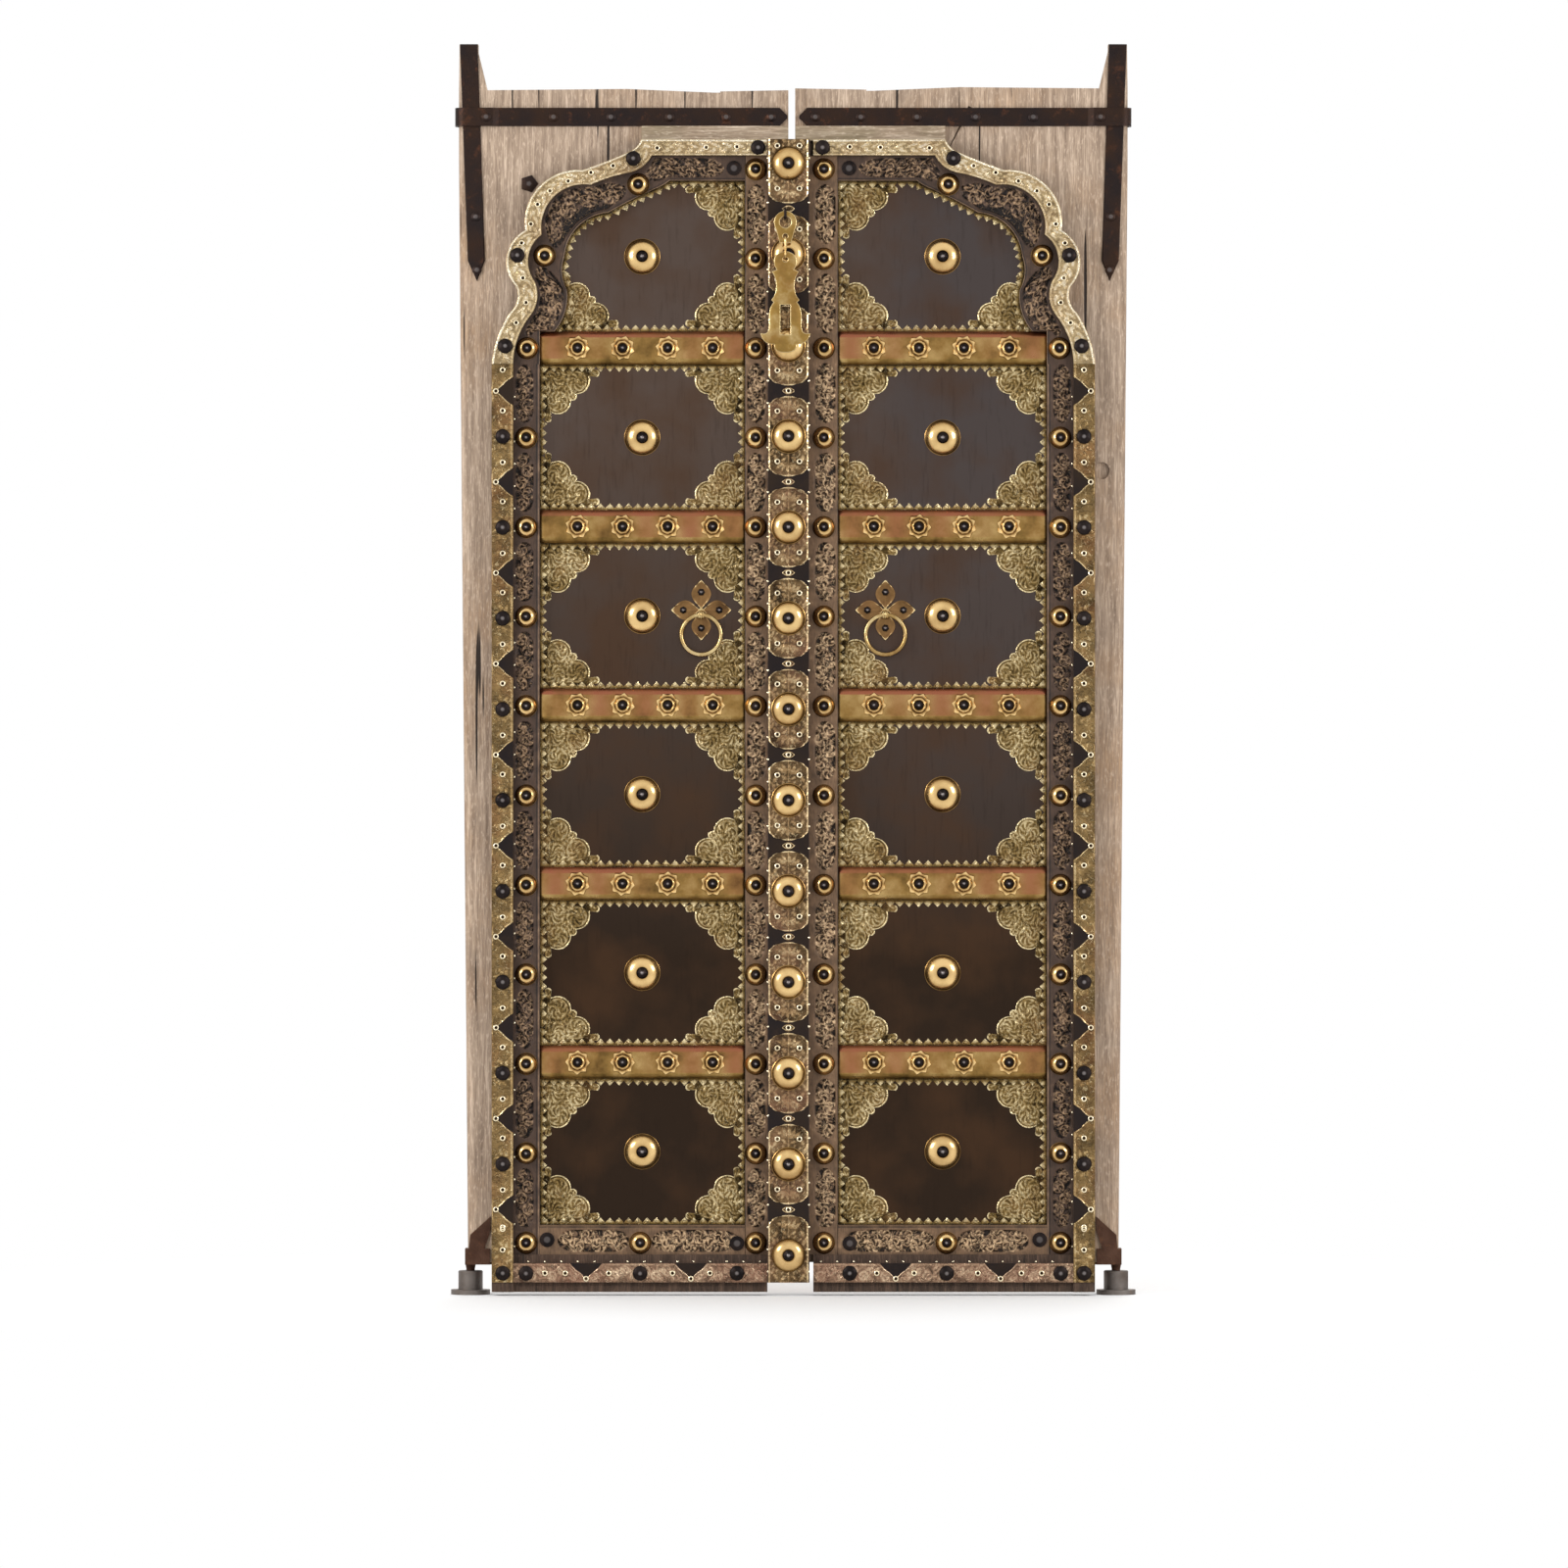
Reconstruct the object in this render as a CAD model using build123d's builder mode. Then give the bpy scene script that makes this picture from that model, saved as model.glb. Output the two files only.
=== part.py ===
from build123d import *
import os
from dataclasses import dataclass
from math import atan2, cos, degrees, sin, tau

os.makedirs("parts", exist_ok=True)

# A pair of old pivot-hung door leaves: boards behind, and in front a moulded border, carved
# strips, iron panels and brass rails, all nailed on. The front looks along -Y and +Z is up.
# X = 0 is the line where the leaves meet and Z = 0 is the floor. On each leaf, u is the
# distance from the meeting line towards that leaf's pivot, so x = side * u.

# Boards
board_t = 32.0
board_bottom = 53.2
leaf_u = 547.0
leaf_u_bottom = 532.0
straight_from = 1850.0
post_round = 13.0
plank_u = 119.5
ear_top = 2044.0
ear_outer_u = 546.0
ear_inner_u = 515.0
ear_root_u = 500.0

# Pivots
pivot_u = 528.0
pivot_y = board_t / 2
spike_r = 7.0
spike_root_r = 8.5
spike_running_gap = 0.05
spike_tip_z = 28.0
socket_top = 39.0
socket_r = 20.0
socket_flange_r = 32.0
socket_flange_t = 8.0
socket_bolt_r = 2.75
socket_bolt_circle = 25.5
seat_gap = 0.3

# Border mouldings, their iron sheet and the brass on it
lip_z = 6.0
band_low = 22.0
band_high = 53.2
ledge_high = 66.8
border_u = 492.0
border_in_u = 457.0
border_t = 36.0
lip_t = 30.0
ledge_t = 27.0
arch_spring = 1520.0
arch_top = 1886.0
arch_inner_top = 1860.0
iron_t = 1.5
brass_t = 1.2

# Carved strips, rails and panels
strip_t = 24.0
relief = 3.5
side_in_u = 414.0
low_rail_top = 114.8
arch_panel_top = 1820.0
rail_pitch = 291.6
rail_low_z = 380.4
rail_count = 5
rail_half = 27.0
rail_face_half = 19.0
rail_edge_t = 13.0
rail_t = 20.0
sheet_t = 2.0
tooth_pitch = 15.2
tooth_h = 9.0
tooth_root = 4.0
trim_t = 1.6

# Centre strip on the left leaf
astragal_left = 42.4
astragal_right = 26.4
astragal_x = (astragal_right - astragal_left) / 2
astragal_t = 22.0
astragal_clear = 0.3
lap_gap = 6.2
plaque_pitch = 148.3
plaque_low_z = 66.8
plaque_count = 13
plaque_half_w = 33.0
plaque_half_h = 66.0

# Round brass and nail heads
panel_dome_r = 29.5
panel_dome_h = 13.0
strip_dome_r = 28.0
strip_dome_h = 10.0
boss_r = 18.4
boss_h = 9.0
boss_pitch = 146.0
boss_low_z = 86.0
dome_wall = 1.4
rosette_r = 20.5
rosette_core_r = 14.0
rosette_t = 2.4
rosette_h = 5.5
rosette_pitch = 73.6
rosette_first_u = 131.5
big_nail_r = 12.5
dome_nail_r = 9.6
small_nail_r = 7.2
nail_h = 6.0
low_nail_h = 4.0
pin_r = 5.2
pin_h = 2.6

# Straps
strap_t = 4.0
strap_low = 1910.0
strap_high = 1940.0
strap_tip_u = 9.5
strap_nails = (36, 110, 202, 298, 392, 502)
shank_r = 3.0
clench = 4.0

# Hasp: link, wire loop and slotted plate
hasp_x = -13.0
hasp_y = -71.5
hasp_t = 3.0
link_axis_z = 1763.0
loop_axis_z = 1718.9
plate_axis_z = 1697.2
eye_gap = 0.6
link_eye_r = 17.5
link_hole_r = 10.0
low_hole_r = 4.6
loop_r = 6.6
loop_wire = 1.8
staple_wire = 2.2
plate_eye_r = 13.0
plate_low_z = 1537.0

# Ring pulls
ring_u = 150.5
ring_z = 1119.0
petal_tip = 49.0
petal_root = 4.0
petal_half_w = 15.5
pull_t = 1.5
ring_r = 32.4
ring_wire = 3.5
ring_play = 0.4
pull_eye_wire = 2.0
pull_eye_y = 13.0
pull_eye_drop = 8.0

# The three edges of the cusped arch as (u, z): each row is one arc by start, middle and end
ARCH_OUTER = [
    ((248, arch_top), (254, 1876), (263, 1868)),
    ((263, 1868), (306, 1850), (345, 1836)),
    ((345, 1836), (412, 1812), (437, 1738)),
    ((437, 1738), (466, 1702), (453, 1647)),
    ((453, 1647), (450, 1624), (462, 1604)),
    ((462, 1604), (480, 1569), (border_u, arch_spring)),
]
ARCH_INNER = [
    ((231, arch_inner_top), (247, 1841), (268, 1832)),
    ((268, 1832), (300, 1824), (331, 1812)),
    ((331, 1812), (388, 1795), (410, 1731)),
    ((410, 1731), (432, 1696), (422, 1655)),
    ((422, 1655), (418, 1624), (431, 1596)),
    ((431, 1596), (449, 1563), (border_in_u, arch_spring)),
]
RAIL_TOP = rail_low_z + (rail_count - 1) * rail_pitch + rail_half
ARCH_PANEL = [
    ((202, arch_panel_top), (214, 1812), (225, 1807)),
    ((225, 1807), (263, 1789), (302, 1768)),
    ((302, 1768), (346, 1750), (374, 1696)),
    ((374, 1696), (378, 1672), (370, 1642)),
    ((370, 1642), (372, 1609), (390, RAIL_TOP)),
]

# Nail and pin places as (u, z), read off the leaf by eye
ARCH_NAILS = [(261, 1855), (450, 1697), (470, 1549)]
ARCH_PINS = [
    (92, 1874), (142, 1873), (222, 1872), (294, 1843), (330, 1832), (367, 1818), (397, 1802),
    (417, 1780), (428, 1748), (443, 1717), (441, 1660), (436, 1620), (452, 1587),
]
ARCH_BOSSES = [(253, 1813.5), (406, 1697)]
LOW_NOTCHES = (338, 167)
LOW_NAILS = (474, 436, 250, 92)
LOW_PINS = (405, 372, 301, 197, 136)


@dataclass(frozen=True)
class Leaf:
    name: str
    side: int
    edge_u: float
    border_end_u: float
    stile_u: float
    boss_u: float
    dome_u: float
    top_z: float

    def at(self, u, z):
        return (self.side * u, z)

    def spots(self, places):
        return [self.at(u, z) for u, z in places]


LEAVES = [
    Leaf("left", -1, 8.0, astragal_left, 79.0, 61.2, 247.0, 1969.0),
    Leaf("right", 1, 3.0, astragal_right + lap_gap, 73.0, 49.8, 244.0, 1972.0),
]

RAIL_ZS = [rail_low_z + i * rail_pitch for i in range(rail_count)]
BOSS_ZS = [boss_low_z + i * boss_pitch for i in range(13)]
PLAQUE_ZS = [plaque_low_z + i * plaque_pitch for i in range(plaque_count)]
NOTCH_ZS = [z + plaque_pitch / 2 for z in PLAQUE_ZS[:10]]
PANEL_LOWS = [low_rail_top] + [z + rail_half for z in RAIL_ZS]
PANEL_TOPS = [z - rail_half for z in RAIL_ZS] + [arch_panel_top]
DOME_ZS = [(low + top) / 2 for low, top in zip(PANEL_LOWS, PANEL_TOPS)]
border_face = border_t + iron_t
brass_face = border_face + brass_t
strip_face = strip_t + astragal_t + iron_t + brass_t


def front(depth):
    """The upright plane that lies this far in front of the boards."""
    return Plane.XZ.offset(depth)


def save(part, label):
    part.label = label
    export_step(part, f"parts/{label}.step")


def slab(leaf, outline, back, thickness):
    """A flat piece with straight edges, from its (u, z) corners."""
    with BuildPart() as piece:
        with BuildSketch(front(back)):
            with BuildLine():
                Polyline(*leaf.spots(outline), close=True)
            make_face()
        extrude(amount=thickness)
    return piece.part


def arcs(leaf, rows):
    """Draws the rows as arcs on the current line, from the first to the last."""
    for start, middle, end in rows:
        ThreePointArc(leaf.at(*start), leaf.at(*middle), leaf.at(*end))


# Boards, with the post's rounded edge and the ear that turns in the lintel
def pivot_board(leaf):
    ear = [
        (ear_root_u, leaf.top_z), (ear_inner_u, leaf.top_z + 62), (ear_inner_u, ear_top),
        (ear_outer_u, ear_top),
    ]
    with BuildPart() as board:
        with BuildSketch(front(-board_t)):
            with BuildLine():
                Polyline(
                    *leaf.spots([(plank_u, board_bottom), (leaf_u_bottom, board_bottom),
                                 (leaf_u, straight_from), (leaf_u, leaf.top_z)]),
                    *leaf.spots(reversed(ear)),
                    *leaf.spots([(272, leaf.top_z + 2), (130, leaf.top_z - 4),
                                 (plank_u, leaf.top_z - 4)]),
                    close=True,
                )
            make_face()
        extrude(amount=board_t)
        post = [e for e in board.edges() if abs(e.center().X) > 538 and abs(e.tangent_at(0.5).Y) < 0.1]
        fillet([e for e in post if board_bottom + 9 < e.center().Z < ear_top - 1], radius=post_round)
        strap_holes(leaf, [u for u in strap_nails if u > plank_u])
        if leaf.side > 0:
            with BuildSketch(front(0)):
                with Locations(leaf.at(505, 1347)):
                    Ellipse(12, 14)
                with Locations(leaf.at(289, 1942)):
                    Triangle(a=6, b=92, c=92, align=(Align.CENTER, Align.MIN), rotation=153)
            extrude(amount=-6, mode=Mode.SUBTRACT)
    return board.part


def strap_holes(leaf, places):
    """Bores the strap's nail holes through the boards that are being built."""
    with BuildSketch(front(0)) as holes:
        with Locations(*leaf.spots([(u, (strap_low + strap_high) / 2) for u in places])):
            Circle(shank_r)
    extrude(holes.sketch, amount=-board_t, mode=Mode.SUBTRACT)


def meeting_board(leaf):
    with BuildPart() as board:
        with BuildSketch(front(-board_t)):
            with BuildLine():
                Polyline(
                    *leaf.spots([(leaf.edge_u, board_bottom), (plank_u, board_bottom),
                                 (plank_u, leaf.top_z - 2), (leaf.edge_u, leaf.top_z)]),
                    close=True,
                )
            make_face()
        extrude(amount=board_t)
        strap_holes(leaf, [u for u in strap_nails if u < plank_u])
    return board.part


def filler_strip(leaf):
    ends = (leaf.edge_u, 248)
    corners = [(ends[0], arch_top), (ends[1], arch_top), (ends[1], strap_low), (ends[0], strap_low)]
    return slab(leaf, corners, 0, 9)


# Ironwork that holds the boards together and carries the leaf
def top_strap(leaf):
    over = strap_t + 0.2
    path = [
        (strap_tip_u, -strap_t / 2), (482, -strap_t / 2), (492, -over - strap_t / 2),
        (leaf_u + 4, -over - strap_t / 2), (leaf_u + 4, board_t + strap_t / 2),
        (470, board_t + strap_t / 2),
    ]
    with BuildPart() as strap:
        with BuildSketch(Plane.XY.offset(strap_low)):
            with BuildLine() as middle:
                FilletPolyline(*[(leaf.side * u, y) for u, y in path], radius=[4, 4, 14, 14])
            trace(middle.line, line_width=strap_t)
        extrude(amount=strap_high - strap_low)
        tips = strap.edges().filter_by(Axis.Y).group_by(Axis.X)
        chamfer(tips[-1] if leaf.side < 0 else tips[0], length=13)
        with BuildSketch(front(0)):
            with Locations(*leaf.spots([(u, (strap_low + strap_high) / 2) for u in strap_nails])):
                Circle(shank_r)
        extrude(amount=board_t + 2 * strap_t, both=True, mode=Mode.SUBTRACT)
    return strap.part


def pivot_strap(leaf):
    outline = [(516, ear_top), (545, ear_top), (532, 1690), (517, 1657), (504, 1690)]
    with BuildPart() as strap:
        add(slab(leaf, outline, 0, strap_t))
        chamfer(strap.faces().sort_by(Axis.Y)[0].edges(), length=1.6)
    return strap.part


def pivot_shoe(leaf):
    """Iron band round the foot of the post, with its brace, bottom plate and spike."""
    band_top = board_bottom + 22
    path = [
        (border_u + 4, -strap_t / 2), (leaf_u_bottom + 2.6, -strap_t / 2),
        (leaf_u_bottom + 2.6, board_t + strap_t / 2), (440, board_t + strap_t / 2),
    ]
    brace = [(border_u + 3, 128), (528, 98), (530, band_top), (505, band_top), (border_u + 3, 105)]
    plate_low = board_bottom - strap_t
    with BuildPart() as shoe:
        with BuildSketch(Plane.XY.offset(plate_low)):
            with BuildLine() as middle:
                Polyline(*[(leaf.side * u, y) for u, y in path])
            trace(middle.line, line_width=strap_t)
        extrude(amount=band_top - plate_low)
        with BuildSketch(Plane.XY.offset(plate_low)):
            with Locations((leaf.side * (leaf_u_bottom - 46), board_t / 2)):
                Rectangle(96, board_t)
        extrude(amount=strap_t)
        with BuildSketch(front(0)):
            with BuildLine():
                Polyline(*leaf.spots(brace), close=True)
            make_face()
        extrude(amount=strap_t)
        with Locations((leaf.side * pivot_u, pivot_y, plate_low)):
            Cone(spike_r, spike_root_r, 8, align=(Align.CENTER, Align.CENTER, Align.MAX))
        with Locations((leaf.side * pivot_u, pivot_y, plate_low - 8)):
            Cylinder(spike_r, 9, align=(Align.CENTER, Align.CENTER, Align.MAX))
        with Locations((leaf.side * pivot_u, pivot_y, spike_tip_z)):
            Cone(2, spike_r, plate_low - 17 - spike_tip_z, align=(Align.CENTER, Align.CENTER, Align.MIN))
    return shoe.part


def floor_socket(leaf):
    with BuildPart() as socket:
        with Locations((leaf.side * pivot_u, pivot_y, 0)):
            Cylinder(socket_flange_r, socket_flange_t, align=(Align.CENTER, Align.CENTER, Align.MIN))
            Cylinder(socket_r, socket_top, align=(Align.CENTER, Align.CENTER, Align.MIN))
        with Locations((leaf.side * pivot_u, pivot_y, socket_top)):
            Hole(spike_r + spike_running_gap, depth=socket_top - spike_tip_z + seat_gap)
        with Locations((leaf.side * pivot_u, pivot_y, socket_flange_t)):
            with PolarLocations(socket_bolt_circle, 4, start_angle=45):
                Hole(socket_bolt_r, depth=socket_flange_t)
        fillet(socket.edges().filter_by(GeomType.CIRCLE).group_by(Axis.Z)[-1].sort_by(SortBy.RADIUS)[-1], 2)
    return socket.part


# Border: three lengths of moulding under an iron sheet and a brass one
def side_moulding(leaf):
    corners = [(border_in_u, lip_z), (border_u, lip_z), (border_u, arch_spring), (border_in_u, arch_spring)]
    return slab(leaf, corners, 0, border_t)


def bottom_moulding(leaf):
    section = [
        (0, lip_z), (-lip_t, lip_z), (-lip_t, band_low), (-border_t, band_low),
        (-border_t, band_high), (-ledge_t, band_high), (-ledge_t, ledge_high), (0, ledge_high),
    ]
    start, end = sorted((leaf.side * leaf.border_end_u, leaf.side * border_in_u))
    with BuildPart() as moulding:
        with BuildSketch(Plane.YZ.offset(start)):
            with BuildLine():
                Polyline(*section, close=True)
            make_face()
        extrude(amount=end - start)
    return moulding.part


def arch_face(leaf, back, thickness):
    """The cusped band between the outer and the inner edge of the arch."""
    with BuildPart() as band:
        with BuildSketch(front(back)):
            with BuildLine():
                arcs(leaf, ARCH_OUTER)
                arcs(leaf, ARCH_INNER)
                Line(leaf.at(border_u, arch_spring), leaf.at(border_in_u, arch_spring))
                Polyline(leaf.at(248, arch_top), leaf.at(leaf.border_end_u, arch_top),
                         leaf.at(leaf.border_end_u, arch_inner_top), leaf.at(231, arch_inner_top))
            make_face()
        extrude(amount=thickness)
    return band.part


def band_outline(leaf):
    return leaf.spots([
        (border_u, band_low), (border_u, arch_spring), (border_in_u, arch_spring),
        (border_in_u, band_high), (leaf.border_end_u, band_high), (leaf.border_end_u, band_low),
    ])


def band_iron(leaf):
    with BuildPart() as sheet:
        with BuildSketch(front(border_t)):
            with BuildLine():
                Polyline(*band_outline(leaf), close=True)
            make_face()
        extrude(amount=iron_t)
    return sheet.part


def notch(width, depth):
    """An ogee notch in a brass band: wide at the edge it opens on, a point at its foot."""
    with BuildSketch(mode=Mode.PRIVATE) as shape:
        with BuildLine():
            ThreePointArc((-width / 2, 1), (-width * 0.3, -depth * 0.18), (-width * 0.26, -depth * 0.4))
            ThreePointArc((-width * 0.26, -depth * 0.4), (-width * 0.2, -depth * 0.8), (0, -depth))
            mirror(about=Plane.YZ)
            Line((-width / 2, 1), (width / 2, 1))
        make_face()
    return shape.sketch


def band_brass(leaf):
    """The arch's brass cover, and below it the band with notches that bare the iron."""
    width = border_u - border_in_u
    side_notch = notch(42, width - 5)
    low_notch = notch(50, band_high - band_low - 5)
    with BuildPart() as band:
        with BuildSketch(front(border_face)):
            with BuildLine():
                Polyline(*band_outline(leaf), close=True)
            make_face()
            turn = 90 if leaf.side < 0 else -90
            with Locations(*[Location((leaf.side * border_in_u, z, 0), (0, 0, -turn)) for z in NOTCH_ZS]):
                add(side_notch, mode=Mode.SUBTRACT)
            with Locations(*leaf.spots([(u, band_high) for u in LOW_NOTCHES])):
                add(low_notch, mode=Mode.SUBTRACT)
        extrude(amount=brass_t)
        add(arch_face(leaf, border_t, iron_t + brass_t))
    return band.part


# Carved strips: a sunk field between the bosses, filled with leaves
def leaf_shape(length, width):
    with BuildSketch(mode=Mode.PRIVATE) as shape:
        with BuildLine():
            ThreePointArc((-length / 2, 0), (0, width / 2), (length / 2, 0))
            ThreePointArc((length / 2, 0), (-length * 0.1, -width / 2), (-length / 2, 0))
        make_face()
    return shape.sketch


def carve(fields, sprigs):
    """Sinks the fields into the piece being built and leaves the sprigs standing."""
    sprig = leaf_shape(17, 8)
    with BuildSketch(front(strip_t)) as ground:
        for (x, z), (w, h) in fields:
            with Locations((x, z)):
                SlotOverall(max(w, h), min(w, h), rotation=90 if h > w else 0)
        with Locations(*sprigs):
            add(sprig, mode=Mode.SUBTRACT)
    extrude(ground.sketch, amount=-relief, mode=Mode.SUBTRACT)


def sprig_row(start, end, step=15.0, spread=5.0):
    """Places for leaves that lean left and right in turn along a straight line."""
    run = Vector(*end) - Vector(*start)
    count = max(2, round(run.length / step))
    angle = degrees(atan2(run.Y, run.X))
    across = run.normalized().rotate(Axis.Z, 90)
    places = []
    for i in range(count):
        lean = 1 if i % 2 else -1
        spot = Vector(*start) + run * ((i + 0.5) / count) + across * (lean * spread)
        places.append(Location((spot.X, spot.Y, 0), (0, 0, angle + 38 * lean)))
    return places


def bay_fields(leaf, u, zs, width):
    """Carved fields upright between neighbouring bosses, with their leaves."""
    fields = []
    sprigs = []
    for low, high in zip(zs, zs[1:]):
        length = high - low - 2 * boss_r - 16
        middle = leaf.at(u, (low + high) / 2)
        fields.append((middle, (width, length)))
        sprigs += sprig_row((middle[0], middle[1] - length / 2 + 4), (middle[0], middle[1] + length / 2 - 4))
    return fields, sprigs


def carved_side(leaf):
    corners = [(side_in_u, ledge_high), (border_in_u, ledge_high), (border_in_u, arch_spring),
               (side_in_u, arch_spring)]
    with BuildPart() as strip:
        add(slab(leaf, corners, 0, strip_t))
        carve(*bay_fields(leaf, 436, BOSS_ZS[:10], 30))
    return strip.part


def carved_stile(leaf):
    """The meeting stile, which runs on behind the centre strip to the top and bottom."""
    shown = leaf.border_end_u
    corners = [
        (leaf.edge_u, band_low), (shown, band_low), (shown, ledge_high), (leaf.stile_u, ledge_high),
        (leaf.stile_u, arch_inner_top), (shown, arch_inner_top), (shown, arch_top), (leaf.edge_u, arch_top),
    ]
    with BuildPart() as strip:
        add(slab(leaf, corners, 0, strip_t))
        carve(*bay_fields(leaf, (shown + leaf.stile_u) / 2 + 1, BOSS_ZS, 26))
        if leaf.side > 0:
            with BuildSketch(front(strip_t)):
                with Locations(leaf.at(0, lip_z)):
                    Rectangle(2 * (shown - 1), arch_top, align=(Align.CENTER, Align.MIN))
            extrude(amount=-astragal_clear, mode=Mode.SUBTRACT)
    return strip.part


def carved_rail(leaf):
    corners = [(leaf.stile_u, ledge_high), (side_in_u, ledge_high), (side_in_u, low_rail_top),
               (leaf.stile_u, low_rail_top)]
    middle = (ledge_high + low_rail_top) / 2
    ends = [(leaf.stile_u + 10, 232), (268, side_in_u - 30)]
    with BuildPart() as strip:
        add(slab(leaf, corners, 0, strip_t))
        fields = []
        sprigs = []
        for low, high in ends:
            fields.append((leaf.at((low + high) / 2, middle), (high - low, 32)))
            sprigs += sprig_row(leaf.at(low + 8, middle), leaf.at(high - 8, middle))
        carve(fields, sprigs)
    return strip.part


def carved_arch(leaf):
    """The carved strip inside the arch, down to the spring line beside the top rail."""
    with BuildPart() as strip:
        with BuildSketch(front(0)):
            with BuildLine():
                arcs(leaf, ARCH_INNER)
                arcs(leaf, ARCH_PANEL)
                Polyline(leaf.at(border_in_u, arch_spring), leaf.at(side_in_u, arch_spring),
                         leaf.at(side_in_u, RAIL_TOP), leaf.at(390, RAIL_TOP))
                Polyline(leaf.at(231, arch_inner_top), leaf.at(leaf.stile_u, arch_inner_top),
                         leaf.at(leaf.stile_u, arch_panel_top), leaf.at(202, arch_panel_top))
            make_face()
        extrude(amount=strip_t)
        middle = (arch_inner_top + arch_panel_top) / 2
        run = (leaf.stile_u + 34, 212)
        sprigs = sprig_row(leaf.at(run[0] + 8, middle), leaf.at(run[1] - 8, middle))
        carve([(leaf.at(sum(run) / 2, middle), (run[1] - run[0], 30))], sprigs)
        groove = leaf_shape(17, 7)
        bends = [
            ((288, 1801), (340, 1781), (374, 1760), (389, 1728)),
            ((400, 1664), (396, 1640), (402, 1590)),
        ]
        sprigs = []
        for route in bends:
            for start, end in zip(route, route[1:]):
                sprigs += sprig_row(leaf.at(*start), leaf.at(*end))
        with BuildSketch(front(strip_t)):
            with Locations(*sprigs):
                add(groove)
        extrude(amount=-relief, mode=Mode.SUBTRACT)
    return strip.part


# Brass rails across the leaf
def rails(leaf):
    section = [
        (0, -rail_half), (rail_edge_t, -rail_half), (rail_t, -rail_face_half),
        (rail_t, rail_face_half), (rail_edge_t, rail_half), (0, rail_half),
    ]
    start, end = sorted((leaf.side * leaf.stile_u, leaf.side * side_in_u))
    with BuildPart() as bars:
        for z in RAIL_ZS:
            with BuildSketch(Plane.YZ.offset(start)):
                with BuildLine():
                    Polyline(*[(-y, z + dz) for y, dz in section], close=True)
                make_face()
            extrude(amount=end - start)
    return bars.part


def panel_edges(leaf, low, top):
    """The outline of one panel as straight or curved edges, in order."""
    if top < arch_panel_top:
        corners = leaf.spots([(leaf.stile_u, low), (side_in_u, low), (side_in_u, top), (leaf.stile_u, top)])
        return [Line(a, b) for a, b in zip(corners, corners[1:] + corners[:1])]
    straight = leaf.spots([(202, top), (leaf.stile_u, top), (leaf.stile_u, low), (390, low)])
    bent = [ThreePointArc(leaf.at(*a), leaf.at(*b), leaf.at(*c)) for a, b, c in ARCH_PANEL]
    return [Line(a, b) for a, b in zip(straight, straight[1:])] + bent


def panel_faces(leaf):
    return [Face(Wire(panel_edges(leaf, low, top))) for low, top in zip(PANEL_LOWS, PANEL_TOPS)]


def panels(leaf):
    faces = panel_faces(leaf)
    with BuildPart() as sheets:
        with BuildSketch(front(0)):
            add(faces)
        extrude(amount=sheet_t)
    return sheets.part


def toothed_strip(edge, centre):
    """A narrow strip along a panel's edge with teeth that point to the panel's middle."""
    count = max(1, round(edge.length / tooth_pitch))
    margin = tooth_root / edge.length

    def inset(t, depth):
        spot = edge.position_at(t)
        normal = edge.tangent_at(t).rotate(Axis.Z, 90)
        if normal.dot(centre - spot) < 0:
            normal = -normal
        return spot + normal * depth

    steps = [margin + (1 - 2 * margin) * i / (2 * count) for i in range(2 * count + 1)]
    zigzag = [inset(t, tooth_root + (tooth_h if i % 2 else 0)) for i, t in enumerate(steps)]
    with BuildSketch(mode=Mode.PRIVATE) as strip:
        with BuildLine():
            add(edge)
            Polyline(edge.position_at(0), *zigzag, edge.position_at(1))
        make_face()
    return strip.sketch


def corner_plate():
    """A pierced corner plate: two round lobes, a curl at each end and one between them."""
    lobes = [(60, 26), (29, 59)]
    with BuildSketch(mode=Mode.PRIVATE) as plate:
        Polygon((0, 0), (92, 0), (60, 26), (29, 59), (0, 86), align=None)
        with Locations(*lobes):
            Circle(22)
        with Locations((91, 14), (54, 52), (13, 88)):
            Circle(6.5)
        for x, y in lobes:
            with Locations((x, y)):
                with PolarLocations(12, 4, start_angle=20):
                    RegularPolygon(3.6, 5, mode=Mode.SUBTRACT)
        with Locations((26, 24), (40, 40)):
            RegularPolygon(4.5, 4, mode=Mode.SUBTRACT)
    return plate.sketch


def panel_trim(leaf):
    """Toothed brass round every panel, with a pierced plate in each square corner."""
    plate = corner_plate()
    faces = panel_faces(leaf)
    shapes = []
    for low, top, dome_z in zip(PANEL_LOWS, PANEL_TOPS, DOME_ZS):
        centre = Vector(*leaf.at(leaf.dome_u, dome_z))
        shapes += [toothed_strip(edge, centre) for edge in panel_edges(leaf, low, top)]
        for u, z, turned, flipped in plate_corners(leaf, low, top):
            placed = plate.mirror(Plane.YZ) if flipped else plate
            placed = placed.mirror(Plane.XZ) if turned else placed
            shapes.append(Location((*leaf.at(u, z), 0)) * placed)
    with BuildPart() as trim:
        with BuildSketch(front(sheet_t)):
            add(shapes)
            add(faces, mode=Mode.INTERSECT)
        extrude(amount=trim_t)
    return trim.part


def plate_corners(leaf, low, top):
    """Square corners of a panel: place, whether it hangs from the top, whether it faces -X."""
    near, far = leaf.side < 0, leaf.side > 0
    corners = [(leaf.stile_u, low, False, near), (leaf.stile_u, top, True, near)]
    if top < arch_panel_top:
        return corners + [(side_in_u, low, False, far), (side_in_u, top, True, far)]
    return corners + [(383, low, False, far)]


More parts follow.
